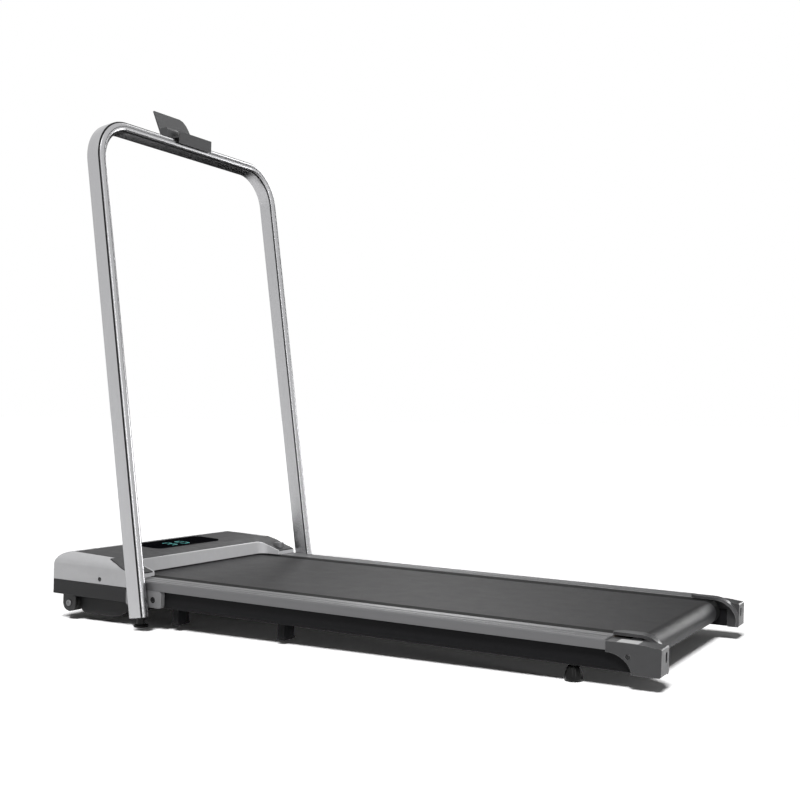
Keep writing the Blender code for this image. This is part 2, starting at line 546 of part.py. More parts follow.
# belly pan, an open tray under the drive
pan_out = [(0.0525, -GAP), (0.0545, -0.0250)] + arc(0.0645, -0.0230, 0.010, 190, 270, 3)
pan_out += [(0.1315, -0.0330), (0.1535, -0.0295), (0.1735, -0.0190), (0.1835, -GAP)]
pan_in = [(0.0550, 0.01), (0.0550, -GAP), (0.0570, -0.0240), (0.0655, -0.0305), (0.1305, -0.0305),
          (0.1520, -0.0272), (0.1715, -0.0172), (0.1807, -GAP), (0.1807, 0.01)]
pan_out, pan_in = ([(NOSE_X + x, z) for x, z in outline] for outline in (pan_out, pan_in))
PAN_Y, PAN_WALL = BEAM_Y + 0.0015, 0.003
pan = carve(prism(pan_out, "Y", -PAN_Y, PAN_Y), [prism(pan_in, "Y", -PAN_Y + PAN_WALL, PAN_Y - PAN_WALL)])
piece("belly_pan", pan, "hood_dark")

# end caps with the roller guard
CAP_SCREW = dict(x=CAP_X0 + 0.0352, z=CAP_TOP - 0.0204, face=HALF_W, head_r=0.0038, head_h=0.0020,
                 shank_r=0.0018, depth=0.0090)
for label, side in SIDES:
    outline = [(CAP_X0, CAP_TOP), (TAIL_X - 0.034, CAP_TOP), (TAIL_X - 0.022, CAP_TOP - 0.0008),
               (TAIL_X - 0.011, CAP_TOP - 0.0024), (TAIL_X - 0.0015, CAP_TOP - 0.0030),
               (TAIL_X, CAP_TOP - 0.0046), (TAIL_X, CAP_LOW + 0.003), (TAIL_X - 0.003, CAP_LOW)]
    cut_a, cut_b = 0.041, 0.0317
    outline += arc(CAP_X0, CAP_LOW - 0.0017, cut_a, 2.4, 90, 9, cut_b / cut_a)
    block = prism(outline, "Y", *sorted((side * CAP_IN, side * HALF_W)))
    guard = [(CAP_X0 - 0.001, GUARD_Z + GUARD_R - GUARD_T), (CAP_X0 - 0.001, GUARD_Z + GUARD_R)]
    guard += arc(GUARD_X, GUARD_Z, GUARD_R, 90, -13.5, 9)
    guard += arc(GUARD_X, GUARD_Z, GUARD_R - GUARD_T, -13.5, 90, 9)
    band = prism(guard, "Y", *sorted((side * (GUARD_IN - 0.01), side * (CAP_IN + 0.0008))))
    sweep = [(GUARD_X, 0.0), (GUARD_X + 0.012, 0.0025), (GUARD_X + 0.024, 0.0070), (GUARD_X + 0.034, 0.0125),
             (GUARD_X + 0.041, 0.0185), (TAIL_X + 0.0005, 0.0210), (TAIL_X + 0.0005, 0.0300),
             (CAP_X0 - 0.002, 0.0300), (CAP_X0 - 0.002, 0.0175), (CAP_X0 + 0.002, 0.0085), (CAP_X0 + 0.010, 0.0)]
    plan = [(x, side * (GUARD_IN + y)) for x, y in sweep]
    band = carve(band, [prism(plan, "Z", -0.1, 0.1)], "INTERSECT")
    cap = carve(block, [band], "UNION")
    pocket = box(CAP_X0 - 0.02, BEAM_X1 + GAP, side * (CAP_IN - 0.081), side * (BEAM_OUT + GAP),
                 -0.02, BEAM_H + GAP)
    slot_y = sorted((side * (BEAM_Y - 0.0044), side * (BEAM_Y + 0.0050)))
    slot = prism(rounded(*slot_y, ROLL_Z - 0.0078, ROLL_Z + 0.0092, 0.0045, 3), "X", TAIL_X - 0.010, TAIL_X + 0.05)
    bolt_y = side * (BEAM_Y + 0.0003)
    bolt_way = rod("X", (0.0, bolt_y, ROLL_Z), 0.0033, REAR_ROLL_X + 0.010, TAIL_X - 0.004, 12)
    cuts = [pocket, slot, bolt_way] + screw_cuts(side=side, **CAP_SCREW)
    piece("end_cap_" + label, carve(cap, cuts), "cap_silver", smooth=True)
    piece("cap_screw_" + label, side_screw(side=side, **CAP_SCREW), "zinc_steel", smooth=True)
    bolt = turned([(REAR_ROLL_X + AXLE_R + 0.008, 0.003), (TAIL_X - 0.0095, 0.003), (TAIL_X - 0.0095, 0.0042),
                   (TAIL_X - 0.0048, 0.0042)], "X", (0.0, bolt_y, ROLL_Z), 12)
    piece("tension_bolt_" + label, bolt, "zinc_steel")

# handrail hinge
for label, side in SIDES:
    face = HALF_W
    plate = prism(rounded(PLATE_X0, PLATE_X1, 0.0, BEAM_H, 0.005, 3), "Y",
                  *sorted((side * (BEAM_OUT + GAP), side * face)))
    bolt = dict(x=HINGE_BOLT_X, z=HINGE_BOLT_Z, face=face, head_r=0.0058, head_h=0.0040, shank_r=0.0030,
                depth=0.0155)
    pin_way = rod("Y", (PIVOT_X, side * (BEAM_OUT + HALF_W) / 2, PIVOT_Z), PIN_R + 0.0006, -0.01, 0.01)
    piece("hinge_plate_" + label, carve(plate, [pin_way] + screw_cuts(side=side, **bolt)), "bracket_grey")
    piece("hinge_bolt_" + label, side_screw(side=side, **bolt), "zinc_steel", smooth=True)
    pin_seat = BEAM_OUT - BEAM_WALL - GAP
    pin = side_turned([(pin_seat - 0.0057, PIN_R + 0.003), (pin_seat, PIN_R + 0.003), (pin_seat, PIN_R),
                       (HALF_W + 0.0160, PIN_R)], side, PIVOT_X, PIVOT_Z)
    piece("pivot_pin_" + label, pin, "zinc_steel", smooth=True)

# handrail: one profile bent into an inverted U, drawn upright in the hinge frame
TUBE_FRONT = -0.0175             # front face of the profile, ahead of its centre line
TUBE_CROWN = 0.0166              # most rearward line of its rounded back
TUBE_SECTION = [(TUBE_N, TUBE_FRONT + 0.0012), (TUBE_N, TUBE_CROWN - 0.0059),
                (TUBE_N - 0.0008, TUBE_CROWN - 0.0049), (TUBE_N - 0.0022, TUBE_CROWN - 0.0063),
                (TUBE_N - 0.0034, TUBE_CROWN - 0.0049),
                (TUBE_N - 0.0048, TUBE_CROWN - 0.0023), (0.0040, TUBE_CROWN - 0.0005), (0.0012, TUBE_CROWN),
                (0.0002, TUBE_CROWN - 0.0011), (-0.0008, TUBE_CROWN - 0.0001), (-0.0050, TUBE_CROWN - 0.0007),
                (0.0026 - TUBE_N, TUBE_CROWN - 0.0027), (-TUBE_N, TUBE_CROWN - 0.0061),
                (-TUBE_N, TUBE_FRONT + 0.0012), (0.0012 - TUBE_N, TUBE_FRONT), (TUBE_N - 0.0012, TUBE_FRONT)]


def tube_stations():
    """Centre points of the rail in its Y-Z plane, each with its outward direction."""
    top = RAIL_TOP_H - TUBE_N
    corner_y, corner_z = POST_Y - BEND_R, top - BEND_R
    stations = [((-POST_Y, -RAIL_FOOT), (-1.0, 0.0))]
    for side in (-1, 1):
        angles = [180 - 11.25 * i for i in range(9)] if side < 0 else [90 - 11.25 * i for i in range(9)]
        for angle in angles:
            t = math.radians(angle)
            out = (math.cos(t), math.sin(t))
            stations.append(((side * corner_y + BEND_R * out[0], corner_z + BEND_R * out[1]), out))
    stations.append(((POST_Y, -RAIL_FOOT), (1.0, 0.0)))
    return stations


tube = bmesh.new()
rings = []
for (y, z), (oy, oz) in tube_stations():
    rings.append([tube.verts.new((e, y + n * oy, z + n * oz)) for n, e in TUBE_SECTION])
for low, high in zip(rings, rings[1:]):
    for i in range(len(TUBE_SECTION)):
        j = (i + 1) % len(TUBE_SECTION)
        tube.faces.new((low[i], low[j], high[j], high[i]))
tube.faces.new(rings[0])
tube.faces.new(list(reversed(rings[-1])))
bmesh.ops.recalc_face_normals(tube, faces=tube.faces)
pin_ways = [rod("Y", (0.0, 0.0, 0.0), PIN_R + 0.0006, *sorted((side * (HALF_W - 0.01), side * (HALF_W + 0.0165))))
            for _, side in SIDES]
piece("handrail", carve(tube, pin_ways), "handrail_silver", parent=HINGE, smooth=True)

# cradle: a clip on the bar carries a knuckle, and the tray tilts on the knuckle's pin
BAR_X = PIVOT_X - RAIL_TOP_H * math.sin(LEAN)
BAR_Z = PIVOT_Z + RAIL_TOP_H * math.cos(LEAN) - 0.0053   # just under the bar's top, in the deck frame
TILT_X, TILT_Z = BAR_X - 0.0106, BAR_Z + 0.0185
KNUCKLE_Y0, KNUCKLE_Y1 = -0.0660, -0.0312
CLIP_TOP, CLIP_FRONT = 0.0016, 0.0030   # thickness over the bar and in front of it
clip_low, clip_high = RAIL_TOP_H + GAP, RAIL_TOP_H + GAP + CLIP_TOP
clip_back, clip_face = TUBE_FRONT - GAP, TUBE_FRONT - GAP - CLIP_FRONT
clip = [(0.0040, clip_low), (0.0040, clip_high), (clip_face, clip_high), (clip_face, RAIL_TOP_H - 0.0170),
        (clip_back, RAIL_TOP_H - 0.0170), (clip_back, clip_low)]
clamp = prism(clip, "Y", KNUCKLE_Y0, 0.030)
knuckle_side = [(0.0105, 0.0075), (0.0070, 0.0115), (-0.0070, 0.0115), (-0.0100, 0.0085)]
for x in (-0.0100, 0.0105):      # its foot ends inside the clip's top, upright in the deck frame
    slant = (TILT_X + x - PIVOT_X) * math.sin(LEAN)
    foot_z = PIVOT_Z + (RAIL_TOP_H + GAP + CLIP_TOP / 2 + slant) / math.cos(LEAN)
    knuckle_side.append((x, foot_z - TILT_Z))
knuckle = prism([rail_point(TILT_X + x, TILT_Z + z) for x, z in knuckle_side], "Y", KNUCKLE_Y0, KNUCKLE_Y1)
pin_at = rail_point(TILT_X, TILT_Z)
pin = rod("Y", (pin_at[0], 0.0, pin_at[1]), 0.0025, KNUCKLE_Y1 - 0.004, -0.0200, 12)
piece("cradle_clamp", carve(clamp, [knuckle, pin], "UNION"), "cradle_grey", parent=HINGE)

# the tray's outlines run from the tilt axis along X and from the bar's top along Z
tray_side = [(0.0348, -0.0030), (0.0348, 0.0215), (0.0322, 0.0215), (0.0322, 0.0115), (-0.0105, 0.0115),
             (-0.0380, 0.0716), (-0.0408, 0.0706), (-0.0140, 0.0090), (0.0322, 0.0090), (0.0322, -0.0030)]
TRAY_Y0, TRAY_Y1 = -0.0555, 0.0505
tray = prism([(TILT_X + x, BAR_Z + z) for x, z in tray_side], "Y", TRAY_Y0, TRAY_Y1)
tray_face = [(TRAY_Y0, -0.01), (TRAY_Y1 - 0.0020, -0.01), (TRAY_Y1, 0.0), (TRAY_Y1, 0.0150),
             (TRAY_Y1 - 0.0004, 0.0400), (TRAY_Y1 - 0.0020, 0.0520), (TRAY_Y1 - 0.0055, 0.0615),
             (TRAY_Y1 - 0.0115, 0.0684), (TRAY_Y1 - 0.0200, 0.0713), (TRAY_Y1 - 0.0220, 0.08),
             (TRAY_Y0 + 0.0035, 0.08), (TRAY_Y0, 0.0690)]
face = prism([(y, BAR_Z + z) for y, z in tray_face], "X", TILT_X - 0.1, TILT_X + 0.1)
tray = carve(tray, [face], "INTERSECT")
notch = box(TILT_X - 0.0140, TILT_X + 0.0135, -0.07, KNUCKLE_Y1 + 0.0006, BAR_Z + 0.0060, BAR_Z + 0.0290)
tray = carve(tray, [notch])
tab_side = [(-0.0080, -0.0085), (0.0080, -0.0085), (0.0080, 0.0045), (0.0040, 0.0080), (-0.0040, 0.0080),
            (-0.0080, 0.0045)]
tab = prism([(TILT_X + x, TILT_Z + z) for x, z in tab_side], "Y", -0.0290, -0.0230)
tray = carve(tray, [tab], "UNION")
tray = carve(tray, [rod("Y", (TILT_X, 0.0, TILT_Z), 0.0029, -0.035, -0.015, 12)])
seat = piece("cradle_tray", tray, "cradle_grey", (TILT_X, 0.0, TILT_Z), parent=HINGE, turn=(0.0, LEAN, 0.0))
seat.location = (pin_at[0], 0.0, pin_at[1])

# fold release buttons on the hood shoulders
for label, side in SIDES:
    well = sorted((side * BUTTON_Y0, side * BUTTON_Y1))
    cap = prism(rounded(BUTTON_X0, BUTTON_X1, *well, 0.003, 2), "Z", BUTTON_LOW, BUTTON_TOP)
    at = ((BUTTON_X0 + BUTTON_X1) / 2, side * (BUTTON_Y0 + BUTTON_Y1) / 2, BUTTON_LOW)
    piece("release_button_" + label, cap, "button_grey", at)


def floor_below(x):
    """Deck frame height of the floor under a deck frame X."""
    return (x * math.sin(INCLINE) - STAND) / math.cos(INCLINE)


def level_piece(name, profile, x, y, steps, slot, flutes=0.0):
    """A foot whose axis stands upright in the world; profile heights run up from the floor."""
    foot = turned(profile, "Z", (0.0, 0.0, 0.0), steps)
    if flutes:
        for v in foot.verts:
            t = math.atan2(v.co.y, v.co.x) * steps / (2 * math.pi)
            if round(t) % 2 and math.hypot(v.co.x, v.co.y) > STEM_R + 0.001:
                v.co.x *= 1 - flutes
                v.co.y *= 1 - flutes
    thing = piece(name, foot, slot, turn=(0.0, -INCLINE, 0.0), smooth=not flutes)
    foot_x = x - floor_below(x) * math.tan(INCLINE)
    thing.location = (foot_x, y, floor_below(foot_x))
    return thing


for label, side in SIDES:
    drop = -floor_below(FRONT_FOOT_X) - 0.0006
    level_piece("front_foot_" + label, [(0.0, 0.0138), (0.0035, 0.0145), (0.0060, 0.0085), (drop, 0.0085),
                                        (drop, STEM_R), (drop + 0.008, STEM_R)],
                FRONT_FOOT_X, side * BEAM_Y, 20, "rubber_black")
    drop = -floor_below(REAR_FOOT_X) - 0.0050
    level_piece("rear_foot_" + label, [(0.0, 0.0115), (0.0025, 0.0138), (0.0050, 0.0147), (drop - 0.008, 0.0128),
                                       (drop, 0.0100), (drop, STEM_R), (drop + 0.022, STEM_R)],
                REAR_FOOT_X, side * BEAM_Y, 20, "rubber_black", 0.09)

# transport wheels
CHEEK_T, CHEEK_GAP = 0.0027, 0.0009
for label, side in SIDES:
    edge = WHEEL_Y + WHEEL_WIDE / 2 + CHEEK_GAP
    other = WHEEL_Y - WHEEL_WIDE / 2 - CHEEK_GAP
    down = [(WHEEL_X - WHEEL_R, 0.0065), (BEAM_X0 - 2 * GAP, 0.0065), (BEAM_X0 - 2 * GAP, -0.0006),
            (WHEEL_X + WHEEL_R, -0.0006)]
    cheek = down + arc(WHEEL_X, WHEEL_Z, WHEEL_R, 0, -180, 8)
    outer = prism(cheek, "Y", *sorted((side * edge, side * (edge + CHEEK_T))))
    inner = prism(cheek, "Y", *sorted((side * (other - CHEEK_T), side * other)))
    web = box(WHEEL_X - WHEEL_R, BEAM_X0 - 2 * GAP, side * (other - CHEEK_T), side * (edge + CHEEK_T),
              0.0037, 0.0065)
    fork = carve(carve(outer, [web], "UNION"), [inner], "UNION")
    bore = sorted((side * (WHEEL_Y - 0.025), side * (WHEEL_Y + 0.025)))
    fork = carve(fork, [rod("Y", (WHEEL_X, 0.0, WHEEL_Z), 0.0034, *bore)])
    piece("wheel_fork_" + label, fork, "bracket_grey")
    half = WHEEL_WIDE / 2
    rim = [(-half, WHEEL_R - 0.0045), (-half, WHEEL_R - 0.0020), (0.0015 - half, WHEEL_R),
           (half - 0.0015, WHEEL_R), (half, WHEEL_R - 0.0020), (half, WHEEL_R - 0.0045)]
    tyre = side_turned([(WHEEL_Y + along, r) for along, r in rim], side, WHEEL_X, WHEEL_Z, 28)
    tyre = carve(tyre, [rod("Y", (WHEEL_X, 0.0, WHEEL_Z), 0.0034, *bore)])
    piece("transport_wheel_" + label, tyre, "wheel_black", (WHEEL_X, side * WHEEL_Y, WHEEL_Z), smooth=True)
    bolt_in, bolt_out = other - CHEEK_T - GAP, edge + CHEEK_T + GAP
    bolt = side_turned([(bolt_in - 0.0012, 0.0055), (bolt_in, 0.0055), (bolt_in, 0.0030), (bolt_out, 0.0030),
                        (bolt_out, 0.0060), (bolt_out + 0.0017, 0.0055), (bolt_out + 0.0023, 0.0030)],
                       side, WHEEL_X, WHEEL_Z)
    piece("wheel_bolt_" + label, bolt, "zinc_steel", smooth=True)
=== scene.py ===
"""Looks of a folding walking treadmill: a finish for every piece of the frame, and fine pieces that dress it.

The deck frame is the machine's own: X to the tail, Y to the walker's right, Z up from the beams' underside.
It stands nose up on its feet, and the handrail leans forward in it, so the deck and the rail each have their
own frame here. What is rounded from the CAD solids, and the rear feet, are drawn as they stand in the world.
"""
from __future__ import annotations

import json
import logging
import math
from dataclasses import dataclass
from enum import Enum
from typing import Callable, Iterable, Sequence

import bmesh
import bpy
from mathutils import Matrix, Vector


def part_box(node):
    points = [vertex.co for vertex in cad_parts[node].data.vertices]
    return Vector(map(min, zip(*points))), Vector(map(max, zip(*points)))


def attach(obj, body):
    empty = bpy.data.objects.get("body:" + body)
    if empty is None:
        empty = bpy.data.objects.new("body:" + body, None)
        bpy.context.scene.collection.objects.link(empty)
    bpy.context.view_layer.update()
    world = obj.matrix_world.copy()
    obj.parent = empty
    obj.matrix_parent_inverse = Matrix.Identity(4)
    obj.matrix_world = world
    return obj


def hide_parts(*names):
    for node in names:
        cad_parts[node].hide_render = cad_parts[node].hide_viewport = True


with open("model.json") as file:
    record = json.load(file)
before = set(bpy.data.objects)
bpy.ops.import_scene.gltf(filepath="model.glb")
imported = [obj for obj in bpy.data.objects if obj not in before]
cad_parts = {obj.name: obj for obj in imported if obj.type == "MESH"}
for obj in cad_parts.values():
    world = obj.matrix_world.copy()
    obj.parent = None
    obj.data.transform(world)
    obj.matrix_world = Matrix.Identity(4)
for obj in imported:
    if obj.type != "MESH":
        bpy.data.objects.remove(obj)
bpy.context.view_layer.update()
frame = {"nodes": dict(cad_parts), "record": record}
log = logging.getLogger("treadmill")

Pair = tuple[float, float]
Triple = tuple[float, float, float]
Four = tuple[float, float, float, float]

INCLINE = math.radians(1.1)          # nose-up tilt of the deck
DECK_ORIGIN = (-0.0304, 0.0, 0.0375)
PIVOT = (-0.348, 0.0, 0.016)         # handrail hinge in the deck frame
LEAN = math.radians(9.08)            # handrail's forward lean in the deck frame
DECK = Matrix.Translation(DECK_ORIGIN) @ Matrix.Rotation(INCLINE, 4, "Y")
RAIL = DECK @ Matrix.Translation(PIVOT) @ Matrix.Rotation(-LEAN, 4, "Y")
WORLD = Matrix.Identity(4)
SIDES = (("left", -1), ("right", 1))
WHEEL_AXIS = (-0.547, -0.0150)       # X and Z of the transport wheels' axis in the deck frame
ROUND_FROM = math.radians(34.0)      # edges that turn by more than this are rounded


class Along(Enum):
    """Direction that brushing or extrusion lines run in, as the squeeze put on the texture in X, Y and Z."""

    NONE = (1.0, 1.0, 1.0)
    LENGTH = (0.02, 1.0, 1.0)
    HEIGHT = (1.0, 1.0, 0.02)


class Shade:
    """A shader tree under construction, with short calls to add and join nodes."""

    def __init__(self, tree: bpy.types.NodeTree) -> None:
        """Keep the node tree of a material, world or group."""
        self.tree = tree

    def feed(self, node: bpy.types.Node, inputs: dict[str | int, object]) -> None:
        """Set or link inputs of a node.

        Args:
            node: the node.
            inputs: a value or a socket for each input, by its name or number.
        """
        for key, value in inputs.items():
            if isinstance(value, bpy.types.NodeSocket):
                self.tree.links.new(value, node.inputs[key])
            else:
                node.inputs[key].default_value = value

    def add(self, kind: str, settings: dict[str, object] | None = None, **inputs: object) -> bpy.types.Node:
        """Add a node.

        Args:
            kind: node type without its ShaderNode prefix.
            settings: node properties by name.
            inputs: values or sockets by input name, or in0, in1 and so on by number.

        Returns:
            The new node.
        """
        node = self.tree.nodes.new("ShaderNode" + kind)
        for key, value in (settings or {}).items():
            setattr(node, key, value)
        self.feed(node, {int(key[2:]) if key.startswith("in") else key: value
                         for key, value in inputs.items()})
        return node

    def math(self, operation: str, a: object, b: object = 0.0, c: object = 0.0) -> bpy.types.NodeSocket:
        """A math node's result for up to three values."""
        return self.add("Math", {"operation": operation}, in0=a, in1=b, in2=c).outputs[0]

    def blend(self, amount: object, a: object, b: object) -> bpy.types.NodeSocket:
        """Colour a where amount is 0 and b where it is 1."""
        return self.add("Mix", {"data_type": "RGBA"}, in0=amount, in6=a, in7=b).outputs[2]

    def spot(self) -> bpy.types.NodeSocket:
        """The place of the shaded point on its object."""
        return self.add("TexCoord").outputs["Object"]

    def noise(self, spot: object, scale: object, detail: float, rough: float = 0.5) -> bpy.types.NodeSocket:
        """A noise texture's level at a spot."""
        return self.add("TexNoise", Vector=spot, Scale=scale, Detail=detail, Roughness=rough).outputs["Fac"]

    def effect(self, shared: Effect, **values: object) -> bpy.types.NodeOutputs:
        """Place a shared effect with its own values.

        Args:
            shared: the effect.
            values: its input values by name.

        Returns:
            What the effect puts out, by name.
        """
        node = self.tree.nodes.new("ShaderNodeGroup")
        node.node_tree = shared.group()
        self.feed(node, values)
        return node.outputs


@dataclass(frozen=True)
class Effect:
    """A shader group that several finishes share, made on first use."""

    name: str
    inputs: tuple[tuple[str, float | Triple], ...]
    fill: Callable[[Shade, bpy.types.NodeOutputs], dict[str, bpy.types.NodeSocket]]

    def group(self) -> bpy.types.NodeTree:
        """Look the group up, or make it.

        Returns:
            The group, with the inputs named here and the outputs that fill gives.
        """
        tree = bpy.data.node_groups.get(self.name)
        if tree:
            return tree
        tree = bpy.data.node_groups.new(self.name, "ShaderNodeTree")
        for key, value in self.inputs:
            kind = "NodeSocketVector" if isinstance(value, tuple) else "NodeSocketFloat"
            tree.interface.new_socket(key, in_out="INPUT", socket_type=kind).default_value = value
        sh = Shade(tree)
        results = self.fill(sh, tree.nodes.new("NodeGroupInput").outputs)
        for key in results:
            tree.interface.new_socket(key, in_out="OUTPUT", socket_type="NodeSocketFloat")
        sh.feed(tree.nodes.new("NodeGroupOutput"), results)
        return tree


def fill_grain(sh: Shade, given: bpy.types.NodeOutputs) -> dict[str, bpy.types.NodeSocket]:
    """Fine surface grain, which a squeeze turns into brushing, and slow changes of tone.

    Args:
        sh: the group's shade.
        given: the grain's Scale and Squeeze.

    Returns:
        The grain's Height and the Tone.
    """
    spot = sh.add("VectorMath", {"operation": "MULTIPLY"}, in0=sh.spot(), in1=given["Squeeze"]).outputs[0]
    slow = sh.math("MULTIPLY", given["Scale"], 0.03)
    return {"Height": sh.noise(spot, given["Scale"], 3.0, 0.55), "Tone": sh.noise(spot, slow, 4.0)}


def fill_edge(sh: Shade, given: bpy.types.NodeOutputs) -> dict[str, bpy.types.NodeSocket]:
    """The outer edges, broken up as by handling: wear, and a painted highlight along rounded edges.

    Args:
        sh: the group's shade.
        given: the Radius that counts as edge, and the Amount of wear and painted highlight.

    Returns:
        The Mask of the worn edges and the painted edge highlights.
    """
    soft = sh.add("Bevel", {"samples": 4}, Radius=given["Radius"]).outputs[0]
    true = sh.add("NewGeometry").outputs["Normal"]
    same = sh.add("VectorMath", {"operation": "DOT_PRODUCT"}, in0=soft, in1=true).outputs["Value"]
    turn = sh.math("MULTIPLY", sh.math("SUBTRACT", 1.0, same), 5.0)
    broken = sh.math("MULTIPLY_ADD", sh.noise(sh.spot(), 140.0, 4.0), 1.6, -0.2)
    worn = sh.math("MULTIPLY", sh.math("MULTIPLY", turn, broken), given["Amount"])
    return {"Mask": sh.add("Clamp", Value=worn).outputs[0]}


def fill_dust(sh: Shade, given: bpy.types.NodeOutputs) -> dict[str, bpy.types.NodeSocket]:
    """A thin film of dust on what faces up.

    Args:
        sh: the group's shade.
        given: the Amount of dust.

    Returns:
        The Mask of the film.
    """
    up = sh.add("SeparateXYZ", Vector=sh.add("NewGeometry").outputs["Normal"]).outputs["Z"]
    facing = sh.math("POWER", sh.math("MAXIMUM", up, 0.0), 3.0)
    film = sh.math("MULTIPLY", sh.noise(sh.spot(), 9.0, 6.0, 0.7), sh.noise(sh.spot(), 520.0, 2.0))
    return {"Mask": sh.math("MULTIPLY", sh.math("MULTIPLY", film, facing), given["Amount"])}


def fill_weave(sh: Shade, given: bpy.types.NodeOutputs) -> dict[str, bpy.types.NodeSocket]:
    """Crossed threads pressed into the belt's face.

    Args:
        sh: the group's shade.
        given: the Pitch of the threads in metres.

    Returns:
        The Height of the threads, from 0 to 1.
    """
    spot = sh.add("SeparateXYZ", Vector=sh.spot()).outputs
    turns = sh.math("DIVIDE", math.tau, given["Pitch"])
    waves = [sh.math("SINE", sh.math("MULTIPLY", sh.math(way, spot["X"], spot["Y"]), turns))
             for way in ("ADD", "SUBTRACT")]
    return {"Height": sh.math("MULTIPLY_ADD", sh.math("MAXIMUM", *waves), 0.5, 0.5)}


GRAIN = Effect("fine_grain", (("Scale", 900.0), ("Squeeze", (1.0, 1.0, 1.0))), fill_grain)
EDGE_WEAR_AND_HIGHLIGHT = Effect("edge_wear_and_highlight", (("Radius", 0.0012), ("Amount", 0.5)), fill_edge)
DUST = Effect("settled_dust", (("Amount", 0.2),), fill_dust)
WEAVE = Effect("pressed_weave", (("Pitch", 0.002),), fill_weave)
DUST_COLOUR = (0.42, 0.41, 0.39, 1.0)
DUST_ROUGH = 0.4                     # what a full film of dust adds to the roughness
WEAR_AND_HIGHLIGHT_LIFT = 0.22                     # how far an edge moves towards white, for wear and for a painted highlight


@dataclass(frozen=True)
class Surface:
    """A look that pieces are given, with a material that is made on first use."""

    name: str

    def looks(self, sh: Shade) -> dict[str, object]:
        """What the shader is given, as each kind of surface says for itself.

        Args:
            sh: the material's shade.

        Returns:
            A value or a socket for each input, by name.
        """
        raise NotImplementedError

    def material(self) -> bpy.types.Material:
        """Look the material up, or make it.

        Returns:
            The material of this surface.
        """
        made = bpy.data.materials.get("fin_" + self.name)
        if not made:
            made = bpy.data.materials.new("fin_" + self.name)
            made.use_nodes = True
            sh = Shade(made.node_tree)
            sh.feed(made.node_tree.nodes["Principled BSDF"], self.looks(sh))
        return made


@dataclass(frozen=True)
class Finish(Surface):
    """How one surface looks: colour, gloss, grain, edges lightened by wear and by painted highlights, and
    dust.
    """

    colour: Triple
    rough: float
    metal: float = 0.0
    gloss: float = 0.5               # level of the plain reflection, 0.5 for ordinary plastic
    grain: float = 0.00003           # depth of the fine grain in metres
    grain_scale: float = 900.0
    along: Along = Along.NONE
    tone: float = 0.10               # how far the colour drifts
    spread: float = 0.10             # how far the roughness drifts
    # how far edges move towards white: wear, and a painted highlight along them
    wear_and_highlight: float = 0.25
    dust: float = 0.0
    weave: float = 0.0               # pitch of a pressed weave in metres, 0 for none
    weave_depth: float = 0.0002

    def looks(self, sh: Shade) -> dict[str, object]:
        """What the shader is given.

        Args:
            sh: the material's shade.

        Returns:
            A value or a socket for each input, by name.
        """
        grain = sh.effect(GRAIN, Scale=self.grain_scale, Squeeze=self.along.value)
        drift = sh.math("MULTIPLY_ADD", grain["Tone"], 2.0, -0.5)
        colour = sh.blend(drift, self.scaled(1.0 - self.tone), self.scaled(1.0 + self.tone))
        # edges lifted towards white: wear, and a painted highlight along rounded edges
        if self.wear_and_highlight:
            colour = sh.blend(sh.effect(EDGE_WEAR_AND_HIGHLIGHT, Amount=self.wear_and_highlight)["Mask"], colour, self.lifted(WEAR_AND_HIGHLIGHT_LIFT))
        rough = sh.math("MULTIPLY_ADD", grain["Tone"], self.spread * 2, self.rough - self.spread)
        if self.dust:
            film = sh.effect(DUST, Amount=self.dust)["Mask"]
            colour = sh.blend(film, colour, DUST_COLOUR)
            rough = sh.math("ADD", rough, sh.math("MULTIPLY", film, DUST_ROUGH))
        height = sh.math("MULTIPLY", grain["Height"], self.grain)
        if self.weave:
            threads = sh.effect(WEAVE, Pitch=self.weave)["Height"]
            height = sh.math("MULTIPLY_ADD", threads, self.weave_depth, height)
        bump = sh.add("Bump", Height=height, Distance=1.0, Strength=1.0).outputs[0]
        return {"Base Color": colour, "Roughness": rough, "Normal": bump, "Metallic": self.metal,
                "Specular IOR Level": self.gloss}

    def scaled(self, factor: float) -> Four:
        """The colour made darker or lighter by a factor."""
        return (*(min(1.0, c * factor) for c in self.colour), 1.0)

    def lifted(self, amount: float) -> Four:
        """The colour moved towards white by amount."""
        return (*(c + (1.0 - c) * amount for c in self.colour), 1.0)


FRAME_PAINT = Finish("frame_paint", (0.009, 0.009, 0.010), 0.50, gloss=0.10, grain=0.00004, grain_scale=1300,
                     wear_and_highlight=0.15, dust=0.12)
# near-black rim, sides and underside of the belt; along the top it is painted shade by the side rails
BELT_RIM_SHADE = Finish("belt_rim_shade", (0.004, 0.004, 0.004), 0.60, gloss=0.05, grain=0.0, wear_and_highlight=0.0)
BELT_FACE = Finish("belt_face", (0.010, 0.010, 0.011), 0.42, gloss=0.10, grain=0.00002, tone=0.16,
                   spread=0.06, wear_and_highlight=0.0, dust=0.05, weave=0.0021, weave_depth=0.00008)
BOARD_WOOD = Finish("board_wood", (0.20, 0.14, 0.09), 0.55, grain=0.00005, grain_scale=300,
                    along=Along.LENGTH, tone=0.3, wear_and_highlight=0.0)
RUBBER = Finish("rubber", (0.006, 0.006, 0.006), 0.30, gloss=0.15, grain_scale=1100, wear_and_highlight=0.4, dust=0.03)
RAIL_METAL = Finish("rail_metal", (0.150, 0.150, 0.154), 0.36, metal=0.5, grain=0.0, grain_scale=1500,
                    along=Along.LENGTH, tone=0.02, spread=0.02, wear_and_highlight=0.0)
SHELL_SILVER = Finish("shell_silver", (0.48, 0.48, 0.49), 0.36, metal=0.08, gloss=0.4, grain=0.00001,
                      grain_scale=2400, tone=0.03, spread=0.04, wear_and_highlight=0.2)
COVER_DARK = Finish("cover_dark", (0.028, 0.028, 0.030), 0.48, gloss=0.10, grain_scale=2000, tone=0.05,
                    dust=0.08)
